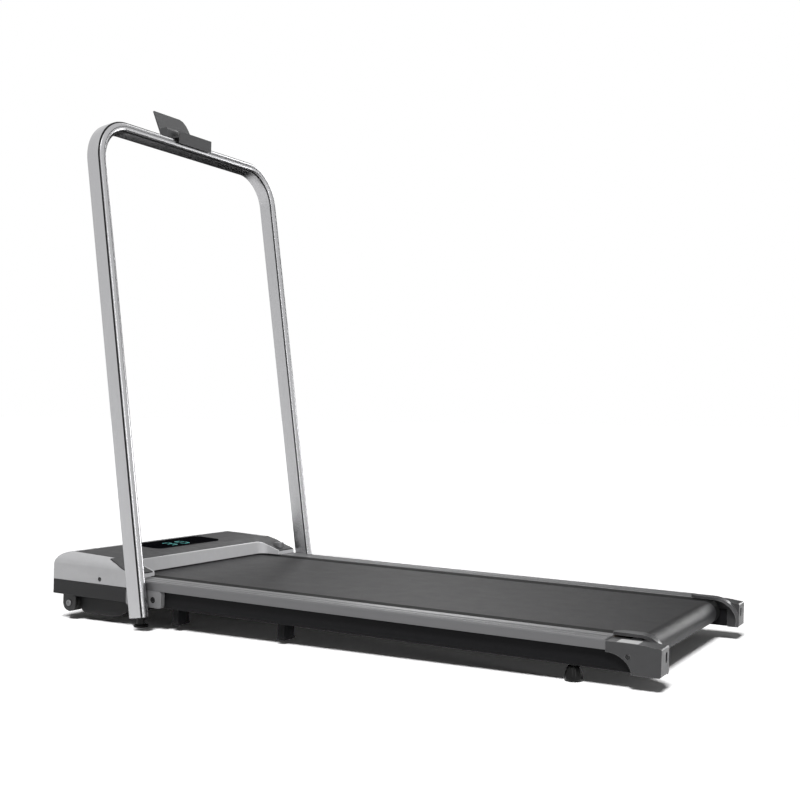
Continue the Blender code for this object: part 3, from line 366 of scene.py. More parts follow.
BASE_DARK = Finish("base_dark", (0.027, 0.027, 0.028), 0.50, gloss=0.2, grain_scale=2000, tone=0.05,
                   wear_and_highlight=0.3)
# full edge lift: the cap's edges carry bright lines of painted highlight, with some wear
CAP_GREY = Finish("cap_grey", (0.058, 0.058, 0.060), 0.36, metal=0.3, gloss=0.4, grain=0.00002,
                  grain_scale=2000, tone=0.04, wear_and_highlight=1.0)
ZINC = Finish("zinc", (0.42, 0.42, 0.43), 0.33, metal=1.0, grain=0.00002, grain_scale=1800, wear_and_highlight=0.2)
DARK_SCREW = Finish("dark_screw", (0.030, 0.030, 0.031), 0.35, metal=0.6, gloss=0.3, grain=0.00001, wear_and_highlight=0.3)
ROLLER = Finish("roller", (0.44, 0.44, 0.45), 0.28, metal=1.0, grain=0.00002, wear_and_highlight=0.1)
MOTOR = Finish("motor", (0.05, 0.05, 0.053), 0.42, metal=0.4, wear_and_highlight=0.3)
CIRCUIT = Finish("circuit", (0.02, 0.13, 0.05), 0.45, tone=0.3, grain_scale=400, wear_and_highlight=0.1)
HANDRAIL = Finish("handrail_metal", (0.44, 0.44, 0.45), 0.27, metal=1.0, grain=0.0, grain_scale=1500,
                  along=Along.HEIGHT, tone=0.01, spread=0.0, wear_and_highlight=0.0)
# near-black faces in the rail's grooves: painted shade
GROOVE_SHADE = Finish("groove_shadow", (0.03, 0.03, 0.031), 0.5, gloss=0.2, wear_and_highlight=0.0)
BRACKET = Finish("bracket", (0.22, 0.22, 0.225), 0.42, metal=0.35, gloss=0.4, wear_and_highlight=0.4)
# full edge lift: the fork's rims carry lighter lines of painted highlight, with some wear
FORK = Finish("fork", (0.028, 0.028, 0.029), 0.38, metal=0.2, gloss=0.4, wear_and_highlight=1.0)
CRADLE = Finish("cradle", (0.060, 0.060, 0.062), 0.46, gloss=0.3, grain_scale=2000, tone=0.05, wear_and_highlight=0.3,
                dust=0.08)
WHEEL = Finish("wheel", (0.014, 0.014, 0.014), 0.5, gloss=0.25, grain=0.00004, wear_and_highlight=0.3, dust=0.15)
BUTTON = Finish("button", (0.17, 0.17, 0.175), 0.36, metal=0.2, wear_and_highlight=0.3)
PALE_PATCH = Finish("pale_patch", (0.60, 0.60, 0.60), 0.35, tone=0.02, grain=0.0, wear_and_highlight=0.1)
BRASS = Finish("contact", (0.62, 0.50, 0.26), 0.25, metal=1.0, wear_and_highlight=0.0)


@dataclass(frozen=True)
class Glass(Surface):
    """The display window: near-black gloss with a faint smear of handling."""

    name: str = "display_window"
    clean: Four = (0.003, 0.003, 0.004, 1.0)
    smeared: Four = (0.006, 0.006, 0.008, 1.0)

    def looks(self, sh: Shade) -> dict[str, object]:
        """What the shader is given.

        Args:
            sh: the material's shade.

        Returns:
            A value or a socket for each input, by name.
        """
        smear = sh.noise(sh.spot(), 26.0, 6.0, 0.65)
        return {"Base Color": sh.blend(smear, self.clean, self.smeared),
                "Roughness": sh.math("MULTIPLY_ADD", smear, 0.10, 0.02), "Specular IOR Level": 0.002}


@dataclass(frozen=True)
class Glow(Surface):
    """Lit segments of the display."""

    name: str = "segment_light"
    dim: Four = (0.035, 0.294, 0.28, 1.0)
    bright: Four = (0.05, 0.42, 0.40, 1.0)
    strength: float = 0.13

    def looks(self, sh: Shade) -> dict[str, object]:
        """What the shader is given.

        Args:
            sh: the material's shade.

        Returns:
            A value or a socket for each input, by name.
        """
        light = sh.blend(sh.noise(sh.spot(), 300.0, 1.0), self.dim, self.bright)
        return {"Base Color": light, "Emission Color": light, "Emission Strength": self.strength}


def body_of(node: str) -> str:
    """The body that a CAD node rides on."""
    return next(b for b, nodes in frame["record"]["behaviour"]["bodies"].items() if node in nodes)


def placed(name: str, data: bpy.types.ID) -> bpy.types.Object:
    """Put a mesh, light or camera in the scene.

    Args:
        name: the object's name.
        data: what it shows.

    Returns:
        The new object.
    """
    thing = bpy.data.objects.new(name, data)
    bpy.context.scene.collection.objects.link(thing)
    return thing


def mesh_piece(name: str, bm: bmesh.types.BMesh, finish: Surface, body: str,
               place: Matrix = DECK, sharp: float = 32.0) -> bpy.types.Object:
    """Make a piece from a bmesh and set it on its body.

    Args:
        name: piece name.
        bm: its shape, which is used up.
        finish: its surface.
        body: the body that it rides on.
        place: the frame that the shape was drawn in.
        sharp: edges that turn by more degrees than this stay crisp.

    Returns:
        The new object, with its vertices in the row frame.
    """
    bmesh.ops.transform(bm, matrix=place, verts=bm.verts)
    bmesh.ops.recalc_face_normals(bm, faces=bm.faces)
    mesh = bpy.data.meshes.new(name)
    bm.to_mesh(mesh)
    bm.free()
    mesh.materials.append(finish.material())
    mesh.shade_smooth()
    mesh.set_sharp_from_angle(angle=math.radians(sharp))
    thing = placed(name, mesh)
    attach(thing, body)
    log.info("piece %s on %s", name, body)
    return thing


def dress(node: str, finish: Surface) -> None:
    """Give a CAD node that stays its finish.

    Args:
        node: the CAD node.
        finish: its surface.
    """
    thing = frame["nodes"][node]
    for place in thing.material_slots:
        place.material = finish.material()
    if not thing.material_slots:
        thing.data.materials.append(finish.material())
    log.info("node %s wears %s", node, finish.name)


def soften(node: str, finish: Surface, width: float, segments: int = 2) -> None:
    """Replace a CAD node by the same shape with rounded edges.

    Args:
        node: the CAD node.
        finish: its surface.
        width: width of the rounded edge in metres.
        segments: faces across each rounded edge.
    """
    bm = bmesh.new()
    bm.from_mesh(frame["nodes"][node].data)
    bmesh.ops.transform(bm, matrix=frame["nodes"][node].matrix_world, verts=bm.verts)
    bmesh.ops.remove_doubles(bm, verts=bm.verts, dist=0.000002)
    bmesh.ops.dissolve_limit(bm, angle_limit=math.radians(0.4), verts=bm.verts, edges=bm.edges)
    piece = mesh_piece(node + "_dressed", bm, finish, body_of(node), WORLD)
    round_off = piece.modifiers.new("round_edges", "BEVEL")
    round_off.width = width
    round_off.segments = segments
    round_off.limit_method = "ANGLE"
    round_off.angle_limit = ROUND_FROM
    round_off.use_clamp_overlap = True
    round_off.harden_normals = True
    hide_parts(node)


def joined(bm: bmesh.types.BMesh, low: Sequence[bmesh.types.BMVert],
           high: Sequence[bmesh.types.BMVert]) -> list[bmesh.types.BMFace]:
    """Join two closed rings of as many points.

    Args:
        bm: the bmesh that they are in.
        low: one ring.
        high: the next one.

    Returns:
        The new faces in order round the rings.
    """
    after = [(i + 1) % len(low) for i in range(len(low))]
    return [bm.faces.new((low[i], low[j], high[j], high[i])) for i, j in enumerate(after)]


def prism(points: Sequence[Pair], axis: str, low: float, high: float) -> bmesh.types.BMesh:
    """A straight solid: an outline in the two other axes, run along the named axis.

    Args:
        points: outline.
        axis: X, Y or Z.
        low: where it begins.
        high: where it ends.

    Returns:
        The solid as a bmesh.
    """
    bm = bmesh.new()
    rings = []
    for level in (low, high):
        spots = [{"X": (level, a, b), "Y": (a, level, b), "Z": (a, b, level)}[axis] for a, b in points]
        rings.append([bm.verts.new(spot) for spot in spots])
    bm.faces.new(rings[0])
    bm.faces.new(list(reversed(rings[1])))
    joined(bm, *rings)
    return bm


def arc(a: float, b: float, r: float, start: float, end: float, steps: int) -> list[Pair]:
    """Points on a circular arc, with angles in degrees."""
    turns = [math.radians(start + (end - start) * i / steps) for i in range(steps + 1)]
    return [(a + r * math.cos(t), b + r * math.sin(t)) for t in turns]


def rounded(a0: float, a1: float, b0: float, b1: float, r: float, steps: int = 6) -> list[Pair]:
    """A rectangle outline with rounded corners."""
    corners = ((a1 - r, b1 - r, 0), (a0 + r, b1 - r, 90), (a0 + r, b0 + r, 180), (a1 - r, b0 + r, 270))
    return [spot for a, b, start in corners for spot in arc(a, b, r, start, start + 90, steps)]


def lathe(profile: Sequence[Pair], axis: str, centre: Triple, steps: int,
          bored: bool = False) -> bmesh.types.BMesh:
    """A solid of revolution.

    Args:
        profile: (along, radius) pairs from end to end, radius 0 at a closed tip.
        axis: X, Y or Z.
        centre: a point on the axis, from which the profile's distances run.
        steps: faces round the axis.
        bored: whether a bore joins the two ends, which are flat otherwise.

    Returns:
        The solid as a bmesh.
    """
    bm = bmesh.new()
    rings = []
    for along, radius in profile:
        ring = []
        for i in range(steps if radius > 0 else 1):
            t = math.tau * i / steps
            a, b = radius * math.cos(t), radius * math.sin(t)
            spot = {"X": (along, a, b), "Y": (b, along, a), "Z": (a, b, along)}[axis]
            ring.append(bm.verts.new(Vector(spot) + Vector(centre)))
        rings.append(ring)
    for low, high in zip(rings, rings[1:] + rings[:1] if bored else rings[1:]):
        for i in range(steps):
            j = (i + 1) % steps
            ring = [low[i % len(low)], low[j % len(low)], high[j % len(high)], high[i % len(high)]]
            bm.faces.new(list(dict.fromkeys(ring)))
    for ring in (rings[0], rings[-1]):
        if len(ring) > 1 and not bored:
            bm.faces.new(ring)
    return bm


def merged(parts: Iterable[bmesh.types.BMesh]) -> bmesh.types.BMesh:
    """Gather several closed shapes.

    Args:
        parts: the shapes, which are used up.

    Returns:
        All of them as one bmesh.
    """
    whole = bmesh.new()
    for part in parts:
        store = bpy.data.meshes.new("part")
        part.to_mesh(store)
        part.free()
        whole.from_mesh(store)
        bpy.data.meshes.remove(store)
    return whole


class Drive(Enum):
    """Recess in the head of a screw."""

    HEX = "hex"
    CROSS = "cross"

    def outline(self, reach: float, count: int = 24) -> list[Pair]:
        """Points round the recess.

        Args:
            reach: half the width across the flats, or half the length of the cross.
            count: number of points.

        Returns:
            The points, about the head's centre.
        """
        spots = []
        for i in range(count):
            t = math.tau * i / count
            if self is Drive.HEX:
                r = reach / math.cos((t % (math.pi / 3)) - math.pi / 6)
            else:
                arm = abs(((t + math.pi / 4) % (math.pi / 2)) - math.pi / 4)
                r = min(reach, reach * 0.24 / max(math.sin(arm), 0.001))
            spots.append((r * math.cos(t), r * math.sin(t)))
        return spots


@dataclass(frozen=True)
class Screw:
    """A screw or bolt that replaces a turned node of the frame, with a real drive recess in its head."""

    shank: float                     # radius
    head: float                      # radius
    tip: float                       # distances along the axis
    seat: float
    face: float
    drive: Drive
    reach: float                     # size of the recess
    depth: float                     # of the recess
    finish: Finish = DARK_SCREW
    dome: float = 0.0003

    def build(self, node: str, at: Triple, facing: Triple) -> None:
        """Make the screw as closed rings from its tip to the floor of its recess.

        Args:
            node: the CAD node.
            at: the point on the axis that its distances run from, in the deck frame.
            facing: the way that the head faces.
        """
        recess = self.drive.outline(self.reach)
        count = len(recess)
        circle = [(math.cos(math.tau * i / count), math.sin(math.tau * i / count)) for i in range(count)]
        steps = [(self.tip, self.shank * 0.6), (self.tip + 0.001, self.shank), (self.seat, self.shank),
                 (self.seat, self.head), (self.face - self.dome * 2, self.head),
                 (self.face - self.dome, self.head * 0.96), (self.face, self.head * 0.84)]
        loops = [(along, [(a * r, b * r) for a, b in circle]) for along, r in steps]
        loops += [(self.face, recess), (self.face - self.depth, [(a * 0.9, b * 0.9) for a, b in recess])]
        bm = bmesh.new()
        turn = Vector((0, 0, 1)).rotation_difference(Vector(facing)).to_matrix()
        rings = [[bm.verts.new(Vector(at) + turn @ Vector((a, b, along))) for a, b in loop]
                 for along, loop in loops]
        for low, high in zip(rings, rings[1:]):
            joined(bm, low, high)
        bm.faces.new(rings[0])
        bm.faces.new(rings[-1])
        piece = mesh_piece(node + "_dressed", bm, self.finish, body_of(node))
        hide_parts(node)


@dataclass
class Fasteners:
    """Every screw and bolt that shows on the sides and at the tail."""

    hood: Screw = Screw(0.0018, 0.0042, 0.2600, 0.2683, 0.2698, Drive.CROSS, 0.0026, 0.0012)
    cap: Screw = Screw(0.0018, 0.0038, 0.2610, 0.2680, 0.2698, Drive.CROSS, 0.0024, 0.0012)
    hinge: Screw = Screw(0.0030, 0.0058, 0.2545, 0.2660, 0.2698, Drive.HEX, 0.0026, 0.0022)
    wheel: Screw = Screw(0.0030, 0.0060, 0.2307, 0.2595, 0.2618, Drive.HEX, 0.0026, 0.0015, BRACKET)
    tension: Screw = Screw(0.0030, 0.0042, 0.6025, 0.6345, 0.6392, Drive.HEX, 0.0021, 0.0025)
    hood_spot: Pair = (-0.4594, 0.0407)
    cap_spot: Pair = (0.5922, 0.0250)
    hinge_spot: Pair = (-0.3264, 0.0145)
    tension_spot: Pair = (0.2443, 0.0256)

    def build(self) -> None:
        """Make the screws of both sides."""
        for label, side in SIDES:
            for name, screw, (x, z) in (("hood_screw_", self.hood, self.hood_spot),
                                        ("cap_screw_", self.cap, self.cap_spot),
                                        ("hinge_bolt_", self.hinge, self.hinge_spot),
                                        ("wheel_bolt_", self.wheel, WHEEL_AXIS)):
                screw.build(name + label, (x, 0.0, z), (0, side, 0))
            y, z = self.tension_spot
            self.tension.build("tension_bolt_" + label, (0.0, side * y, z), (1, 0, 0))


@dataclass
class Handrail:
    """The bent rail, drawn again with fine bends and its extruded grooves, and its two plugs."""

    post_y: float = 0.2842
    top: float = 0.934               # hinge to the top face of the bar
    foot: float = 0.0337             # hinge down to the cut ends
    half: float = 0.0112
    bend: float = 0.079
    bend_steps: int = 30
    front: float = -0.0175
    crown: float = 0.0166
    rise: float = 0.0065             # how far the crown bulges
    crown_span: Pair = (28, 152)     # degrees round the crown's ellipse
    crown_steps: int = 14
    corner: float = 0.0013
    post_marks: tuple[float, ...] = (0.30, 0.60)
    plug_gap: float = 0.002          # wall of the rail round its plugs

    def section(self) -> tuple[list[Pair], set[int]]:
        """The rail's outline, from its flat front round to the crown that faces the walker.

        Returns:
            The outline as (outward, rearward) pairs, and which of its edges lie in a groove.
        """
        h, r = self.half, self.corner
        front = arc(h - r, self.front + r, r, -90, 0, 4)
        back = self.crown - self.rise
        outer = [(h, back - 0.0002), (h - 0.0003, back + 0.0006)]
        slot = [(h - 0.0010, back + 0.0008), (h - 0.0013, back - 0.0012), (h - 0.0029, back - 0.0012),
                (h - 0.0032, back + 0.0010)]
        start, end = self.crown_span
        crown = []
        for i in range(self.crown_steps + 1):
            t = math.radians(start + (end - start) * i / self.crown_steps)
            crown.append(((h - 0.0022) * math.cos(t), back + self.rise * math.sin(t)))
        line_at = self.crown_steps // 2
        n, e = crown[line_at]
        crown[line_at:line_at + 1] = [(n + 0.0005, e), (n + 0.0004, e - 0.0010), (n - 0.0004, e - 0.0010),
                                      (n - 0.0005, e)]
        inner = arc(-h + r, self.front + r, r, 180, 270, 4)
        far_side = [(-n, e) for n, e in reversed(outer + slot)]
        first = len(front) + len(outer)
        fine = first + len(slot) + line_at
        last = first + len(slot) + len(crown)
        grooved = {*range(first - 1, first + 3), *range(fine, fine + 3), *range(last, last + 4)}
        return front + outer + slot + crown + far_side + inner, grooved

    def stations(self) -> list[tuple[Pair, Pair]]:
        """Stations along the rail, up the left post, over the bar and down the right post.

        Returns:
            The centre of each in the rail's Y-Z plane, with its outward direction.
        """
        high = self.top - self.half - self.bend
        side = self.post_y - self.bend
        heights = (-self.foot, *self.post_marks)
        points = [((-self.post_y, z), (-1.0, 0.0)) for z in heights]
        for sign, start in ((-1, 180), (1, 90)):
            for i in range(self.bend_steps + 1):
                t = math.radians(start - 90 * i / self.bend_steps)
                out = (math.cos(t), math.sin(t))
                points.append(((sign * side + self.bend * out[0], high + self.bend * out[1]), out))
        return points + [((self.post_y, z), (1.0, 0.0)) for z in reversed(heights)]

    def build(self) -> None:
        """Make the rail and the plugs that close its cut ends."""
        outline, grooved = self.section()
        bm = bmesh.new()
        rings = []
        for (y, z), (oy, oz) in self.stations():
            rings.append([bm.verts.new((e, y + n * oy, z + n * oz)) for n, e in outline])
        for low, high in zip(rings, rings[1:]):
            for i, face in enumerate(joined(bm, low, high)):
                face.material_index = int(i in grooved)
        bm.faces.new(rings[0])
        bm.faces.new(rings[-1])
        rail = mesh_piece("handrail_dressed", bm, HANDRAIL, "handrail", RAIL, 28.0)
        # the faces in the grooves wear the painted groove shade
        rail.data.materials.append(GROOVE_SHADE.material())
        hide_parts("handrail")
        reach = self.half - self.plug_gap
        for label, side in SIDES:
            y = side * self.post_y
            hollow = rounded(self.front + self.plug_gap, self.crown - 0.007, y - reach, y + reach, 0.003)
            plug = prism(hollow, "Z", -self.foot - 0.0012, -self.foot + 0.0003)
            mesh_piece("rail_plug_" + label, plug, RUBBER, "handrail", RAIL)


@dataclass
class Belt:
    """The walking belt with smooth wraps round both rollers, and a black rim of painted shade along both
    edges.
    """

    front: float = -0.450
    rear: float = 0.590
    axis_z: float = 0.0256
    radius: float = 0.0215
    thick: float = 0.0016
    half: float = 0.2190
    shade_rim: float = 0.028            # black rim of the belt: painted shade where it meets the side rails
    edge: float = 0.0005             # bevel of its edges
    steps: int = 36

    def build(self) -> None:
        """Make the belt as one closed loop with slightly rounded edges."""
        edge = self.edge
        bm = bmesh.new()
        profile = [(0.0, -self.half + self.shade_rim), (0.0, self.half - self.shade_rim), (0.0, self.half - edge),
                   (edge, self.half), (self.thick - edge, self.half), (self.thick, self.half - edge),
                   (self.thick, -self.half + edge), (self.thick - edge, -self.half), (edge, -self.half),
                   (0.0, -self.half + edge)]
        rings = []
        for inward, y in profile:
            r = self.radius - inward
            path = arc(self.front, self.axis_z, r, 90, 270, self.steps)
            path += arc(self.rear, self.axis_z, r, -90, 90, self.steps)
            rings.append([bm.verts.new((x, y, z)) for x, z in path])
        # the top between the rims wears the belt's face; the painted-shade rims, the sides and the underside
        # wear the rim finish
        for k, ring in enumerate(rings):
            for face in joined(bm, ring, rings[(k + 1) % len(rings)]):
                face.material_index = min(k, 1)
        piece = mesh_piece("walking_belt_dressed", bm, BELT_FACE, "chassis")
        piece.data.materials.append(BELT_RIM_SHADE.material())
        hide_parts("walking_belt")


@dataclass
class Display:
    """The gloss window on the hood, with two lit digits on it."""

    digits: str = "30"
    centre: Pair = (-0.487, -0.011)
    size: Pair = (0.027, 0.019)      # digit height along X and width along Y
    pitch: float = 0.040
    bar: float = 0.0034
    gap: float = 0.0006              # left dark at each end of a bar
    top: float = 0.0858
    crown_x: float = -0.548
    fall: float = 0.0038 / 0.107     # the roof's fall for each metre towards the tail
    over: float = 0.00186            # how far the window's face stands over the roof

    def lit(self, digit: str) -> str:
        """Which of the seven bars are lit for a digit that it shows."""
        return {"0": "abcdef", "3": "abgcd"}[digit]

    def height(self, x: float) -> float:
        """Deck height of the window's face at x."""
        return self.top - self.fall * (x - self.crown_x) + self.over

    def bars(self, digit: str, middle: float) -> list[bmesh.types.BMesh]:
        """The lit bars of one digit.

        Args:
            digit: the figure to show.
            middle: its place along Y.

        Returns:
            One thin solid for each bar.
        """
        tall, wide = self.size
        ends = {"a": (-1, -1, -1, 1), "g": (0, -1, 0, 1), "d": (1, -1, 1, 1), "f": (-1, -1, 0, -1),
                "b": (-1, 1, 0, 1), "e": (0, -1, 1, -1), "c": (0, 1, 1, 1)}
        made = []
        for key in self.lit(digit):
            x0, y0, x1, y1 = ends[key]
            cx, cy = self.centre[0] + (x0 + x1) * tall / 4, middle + (y0 + y1) * wide / 4
            along_y = x0 == x1
            long = (wide if along_y else tall / 2) / 2 - self.gap
            side = self.bar / 2
            outline = [(-long, 0), (-long + side, side), (long - side, side), (long, 0), (long - side, -side),
                       (-long + side, -side)]
            spots = [(cx + b, cy + a) if along_y else (cx + a, cy + b) for a, b in outline]
            z = self.height(cx)
            bm = prism(spots, "Z", z - 0.0001, z + 0.00006)
            for v in bm.verts:
                v.co.z -= self.fall * (v.co.x - cx)
            made.append(bm)
        return made

    def build(self) -> None:
        """Soften the window and lay the digits on it."""
        soften("display_panel", Glass(), 0.0004)
        bars = []
        for i, digit in enumerate(self.digits):
            bars += self.bars(digit, self.centre[1] + (i - (len(self.digits) - 1) / 2) * self.pitch)
        mesh_piece("display_digits", merged(bars), Glow(), "chassis")


@dataclass
class Hood:
    """Silver shell, dark cover, base, belly pan, inlet, switch and the two release buttons."""

    socket: Four = (0.160, 0.197, 0.0100, 0.0240)
    socket_floor: float = -0.5660
    rocker_y: float = 0.139
    rocker_z: float = 0.017
    rocker_face: float = -0.5836

    def build(self) -> None:
        """Dress the hood's nodes and fit the small parts of the inlet."""
        soften("hood_shell", SHELL_SILVER, 0.0009, 3)
        soften("hood_top", COVER_DARK, 0.0005, 2)
        soften("hood_base", BASE_DARK, 0.0010, 3)
        soften("belly_pan", BASE_DARK, 0.0012, 3)
        soften("power_inlet", WHEEL, 0.0004)
        soften("power_switch", BUTTON, 0.0005, 3)
        for label, _ in SIDES:
            soften("release_button_" + label, BUTTON, 0.0018, 4)
        self.contacts()
        self.switch_marks()
        for node, finish in (("motor_plate", FRAME_PAINT), ("motor_body", MOTOR), ("motor_shaft", ZINC),
                             ("drive_belt", RUBBER), ("control_board", CIRCUIT)):
            dress(node, finish)

    def contacts(self) -> None:
        """The three flat contacts inside the mains socket."""
        y0, y1, z0, z1 = self.socket
        middle, high = (y0 + y1) / 2, (z0 + z1) / 2
        blades = []
        for dy, dz in ((-0.007, -0.0012), (0.0, 0.0022), (0.007, -0.0012)):
            y, z = middle + dy, high + dz
            blade = rounded(y - 0.0010, y + 0.0010, z - 0.0020, z + 0.0020, 0.0004, 2)
            blades.append(prism(blade, "X", self.socket_floor - 0.011, self.socket_floor + 0.0004))
        mesh_piece("inlet_contacts", merged(blades), BRASS, "chassis")

    def switch_marks(self) -> None:
        """The plain on and off marks, a bar and a ring, raised a little on the rocker."""
        x0, x1 = self.rocker_face - 0.0002, self.rocker_face + 0.0006
        y, z = self.rocker_y, self.rocker_z
        bar = prism(rounded(y - 0.0064, y - 0.0056, z - 0.0026, z + 0.0026, 0.0003, 2), "X", x0, x1)
        ring = bmesh.new()
        loops = []
        for x, r in ((x1, 0.0016), (x0, 0.0016), (x0, 0.0024), (x1, 0.0024)):
            loops.append([ring.verts.new((x, a, b)) for a, b in arc(y + 0.0058, z, r, 0, 345, 23)])
        for k, low in enumerate(loops):
            joined(ring, low, loops[(k + 1) % len(loops)])
        mesh_piece("switch_marks", merged([bar, ring]), PALE_PATCH, "rocker")


@dataclass
class Deck:
    """Beams, cross tubes, legs, board, rails and rollers."""

    def build(self) -> None:
        """Dress the deck's nodes."""
        for label, _ in SIDES:
            soften("side_beam_" + label, FRAME_PAINT, 0.0014, 3)
            soften("side_rail_" + label, RAIL_METAL, 0.0004, 2)
            for place in ("front", "middle"):
                soften(f"support_leg_{place}_{label}", FRAME_PAINT, 0.0006)
            dress("deck_cushion_" + label, RUBBER)
        for node in ("cross_tube_front", "cross_tube_middle"):
            soften(node, FRAME_PAINT, 0.0012)
        for node, finish in (("running_board", BOARD_WOOD), ("front_roller", ROLLER), ("rear_roller", ROLLER),
                             ("front_axle", ZINC), ("rear_axle", ZINC)):
            dress(node, finish)


@dataclass
class EndCaps:
    """The two tail caps and the bare plate on the near one."""

    plate: Four = (0.5735, 0.6070, -0.2680, -0.2425)
    top: float = 0.0454

    def build(self) -> None:
        """Round the caps' edges and lay the bare plate."""
        for label, _ in SIDES:
            soften("end_cap_" + label, CAP_GREY, 0.0018, 3)
        plate = prism(rounded(*self.plate, 0.0015), "Z", self.top - 0.0001, self.top + 0.0003)
        mesh_piece("cap_plate", plate, PALE_PATCH, "chassis")


@dataclass
class Hinge:
    """Hinge plates and the pins that the rail turns on."""

    def build(self) -> None:
        """Dress both sides."""
        for label, _ in SIDES:
            soften("hinge_plate_" + label, BRACKET, 0.0010, 3)
            dress("pivot_pin_" + label, ZINC)


@dataclass
class Feet:
    """Fixed front feet and the adjustable rear ones."""

    flutes: int = 10
    flute_deep: float = 0.085        # share of the skirt's radius
    stem: float = 0.022              # threaded stem over the skirt
    turns: int = 9

    def rear(self, label: str) -> None:
        """A rubber foot with flutes round its skirt, under its threaded stem.

        Args:
            label: left or right.
        """
        low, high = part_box("rear_foot_" + label)
        stem_top, base = high[2], low[2]
        centre = ((low[0] + high[0]) / 2, (low[1] + high[1]) / 2)
        collar = stem_top - self.stem
        rise = collar - base
        profile = [(0.0, 0.0096), (0.0006, 0.0112), (0.0025, 0.0138), (0.0050, 0.0146), (rise * 0.45, 0.0140),
                   (rise - 0.008, 0.0126), (rise - 0.002, 0.0108), (rise, 0.0095), (rise, 0.0040)]
        step = (stem_top - 0.0006 - collar) / self.turns
        for i in range(self.turns):
            profile += [(rise + i * step + 0.2 * step, 0.0040), (rise + (i + 0.7) * step, 0.0036)]
        profile += [(stem_top - base, 0.0034)]
        steps = self.flutes * 6
        foot = lathe([(base + up, r) for up, r in profile], "Z", (centre[0], centre[1], 0.0), steps)
        for v in foot.verts:
            dx, dy = v.co.x - centre[0], v.co.y - centre[1]
            out, up = math.hypot(dx, dy), v.co.z - base
            if out > 0.0090 and 0.004 < up < rise - 0.001:
                wave = math.cos(math.atan2(dy, dx) * self.flutes)
                cut = 1.0 - self.flute_deep * max(0.0, wave) * math.sin(math.pi * (up - 0.003) / rise)
                v.co.x, v.co.y = centre[0] + dx * cut, centre[1] + dy * cut
        piece = mesh_piece(f"rear_foot_{label}_dressed", foot, RUBBER, "foot_screw_" + label,
                           WORLD, 50.0)
        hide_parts("rear_foot_" + label)

    def build(self) -> None:
        """Make the rear feet and dress the front ones."""
        for label, _ in SIDES:
            soften("front_foot_" + label, RUBBER, 0.0008)
            self.rear(label)


@dataclass
class Wheels:
    """Transport wheels in their forks under the nose."""

    inner: float = 0.2345
    outer: float = 0.2556
    radius: float = 0.0165
    bore: float = 0.0034
    grooves: int = 5                 # round the tread

    def wheel(self, label: str, side: int) -> None:
        """A moulded wheel with a grooved tread and a dished hub.

        Args:
            label: left or right.
            side: -1 or 1.
        """
        a, b, r = self.inner, self.outer, self.radius
        rim = [(a, self.bore), (a, 0.0058), (a + 0.0012, 0.0066), (a + 0.0012, 0.0108), (a, 0.0116),
               (a, r - 0.0016), (a + 0.0005, r - 0.0005), (a + 0.0016, r)]
        ribs = []
        width = (b - a - 0.0032) / (self.grooves + 1)
        for i in range(1, self.grooves + 1):
            y = a + 0.0016 + i * width
            ribs += [(y - 0.0007, r), (y - 0.0004, r - 0.0006), (y + 0.0004, r - 0.0006), (y + 0.0007, r)]
        far = [(b - (along - a), reach) for along, reach in reversed(rim)]
        profile = rim + ribs + far
        x, z = WHEEL_AXIS
        bm = lathe([(side * along, reach) for along, reach in profile], "Y", (x, 0.0, z), 48, bored=True)
        piece = mesh_piece(f"transport_wheel_{label}_dressed", bm, WHEEL, "wheel_" + label)
        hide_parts("transport_wheel_" + label)

    def build(self) -> None:
        """Make both wheels and dress their forks."""
        for label, side in SIDES:
            soften("wheel_fork_" + label, FORK, 0.0010)
            self.wheel(label, side)


@dataclass
class Cradle:
    """The clip on the bar and the tilting tray, with a soft pad in its trough."""

    floor: float = 0.9330 + 0.0115   # deck height of the trough's floor
    pad_x: Pair = (-0.5150, -0.4752)
    pad_y: Pair = (-0.0205, 0.0480)
    ribs: int = 5

    def build(self) -> None:
        """Dress the cradle and lay a ribbed rubber pad in the trough."""
        soften("cradle_clamp", CRADLE, 0.0006)
        soften("cradle_tray", CRADLE, 0.0008, 3)
        x0, x1 = self.pad_x
        under, plain, rib = self.floor - 0.0001, self.floor + 0.0006, self.floor + 0.0010
        outline = [(x0, under), (x1, under), (x1, plain)]
        step = (x1 - x0) / self.ribs
        for i in range(self.ribs):
            right = x1 - i * step
            outline += [(right - 0.30 * step, plain), (right - 0.36 * step, rib), (right - 0.64 * step, rib),
                        (right - 0.70 * step, plain)]
        outline.append((x0, plain))
        pad = prism(outline, "Y", *self.pad_y)
        mesh_piece("cradle_pad", pad, RUBBER, "cradle")


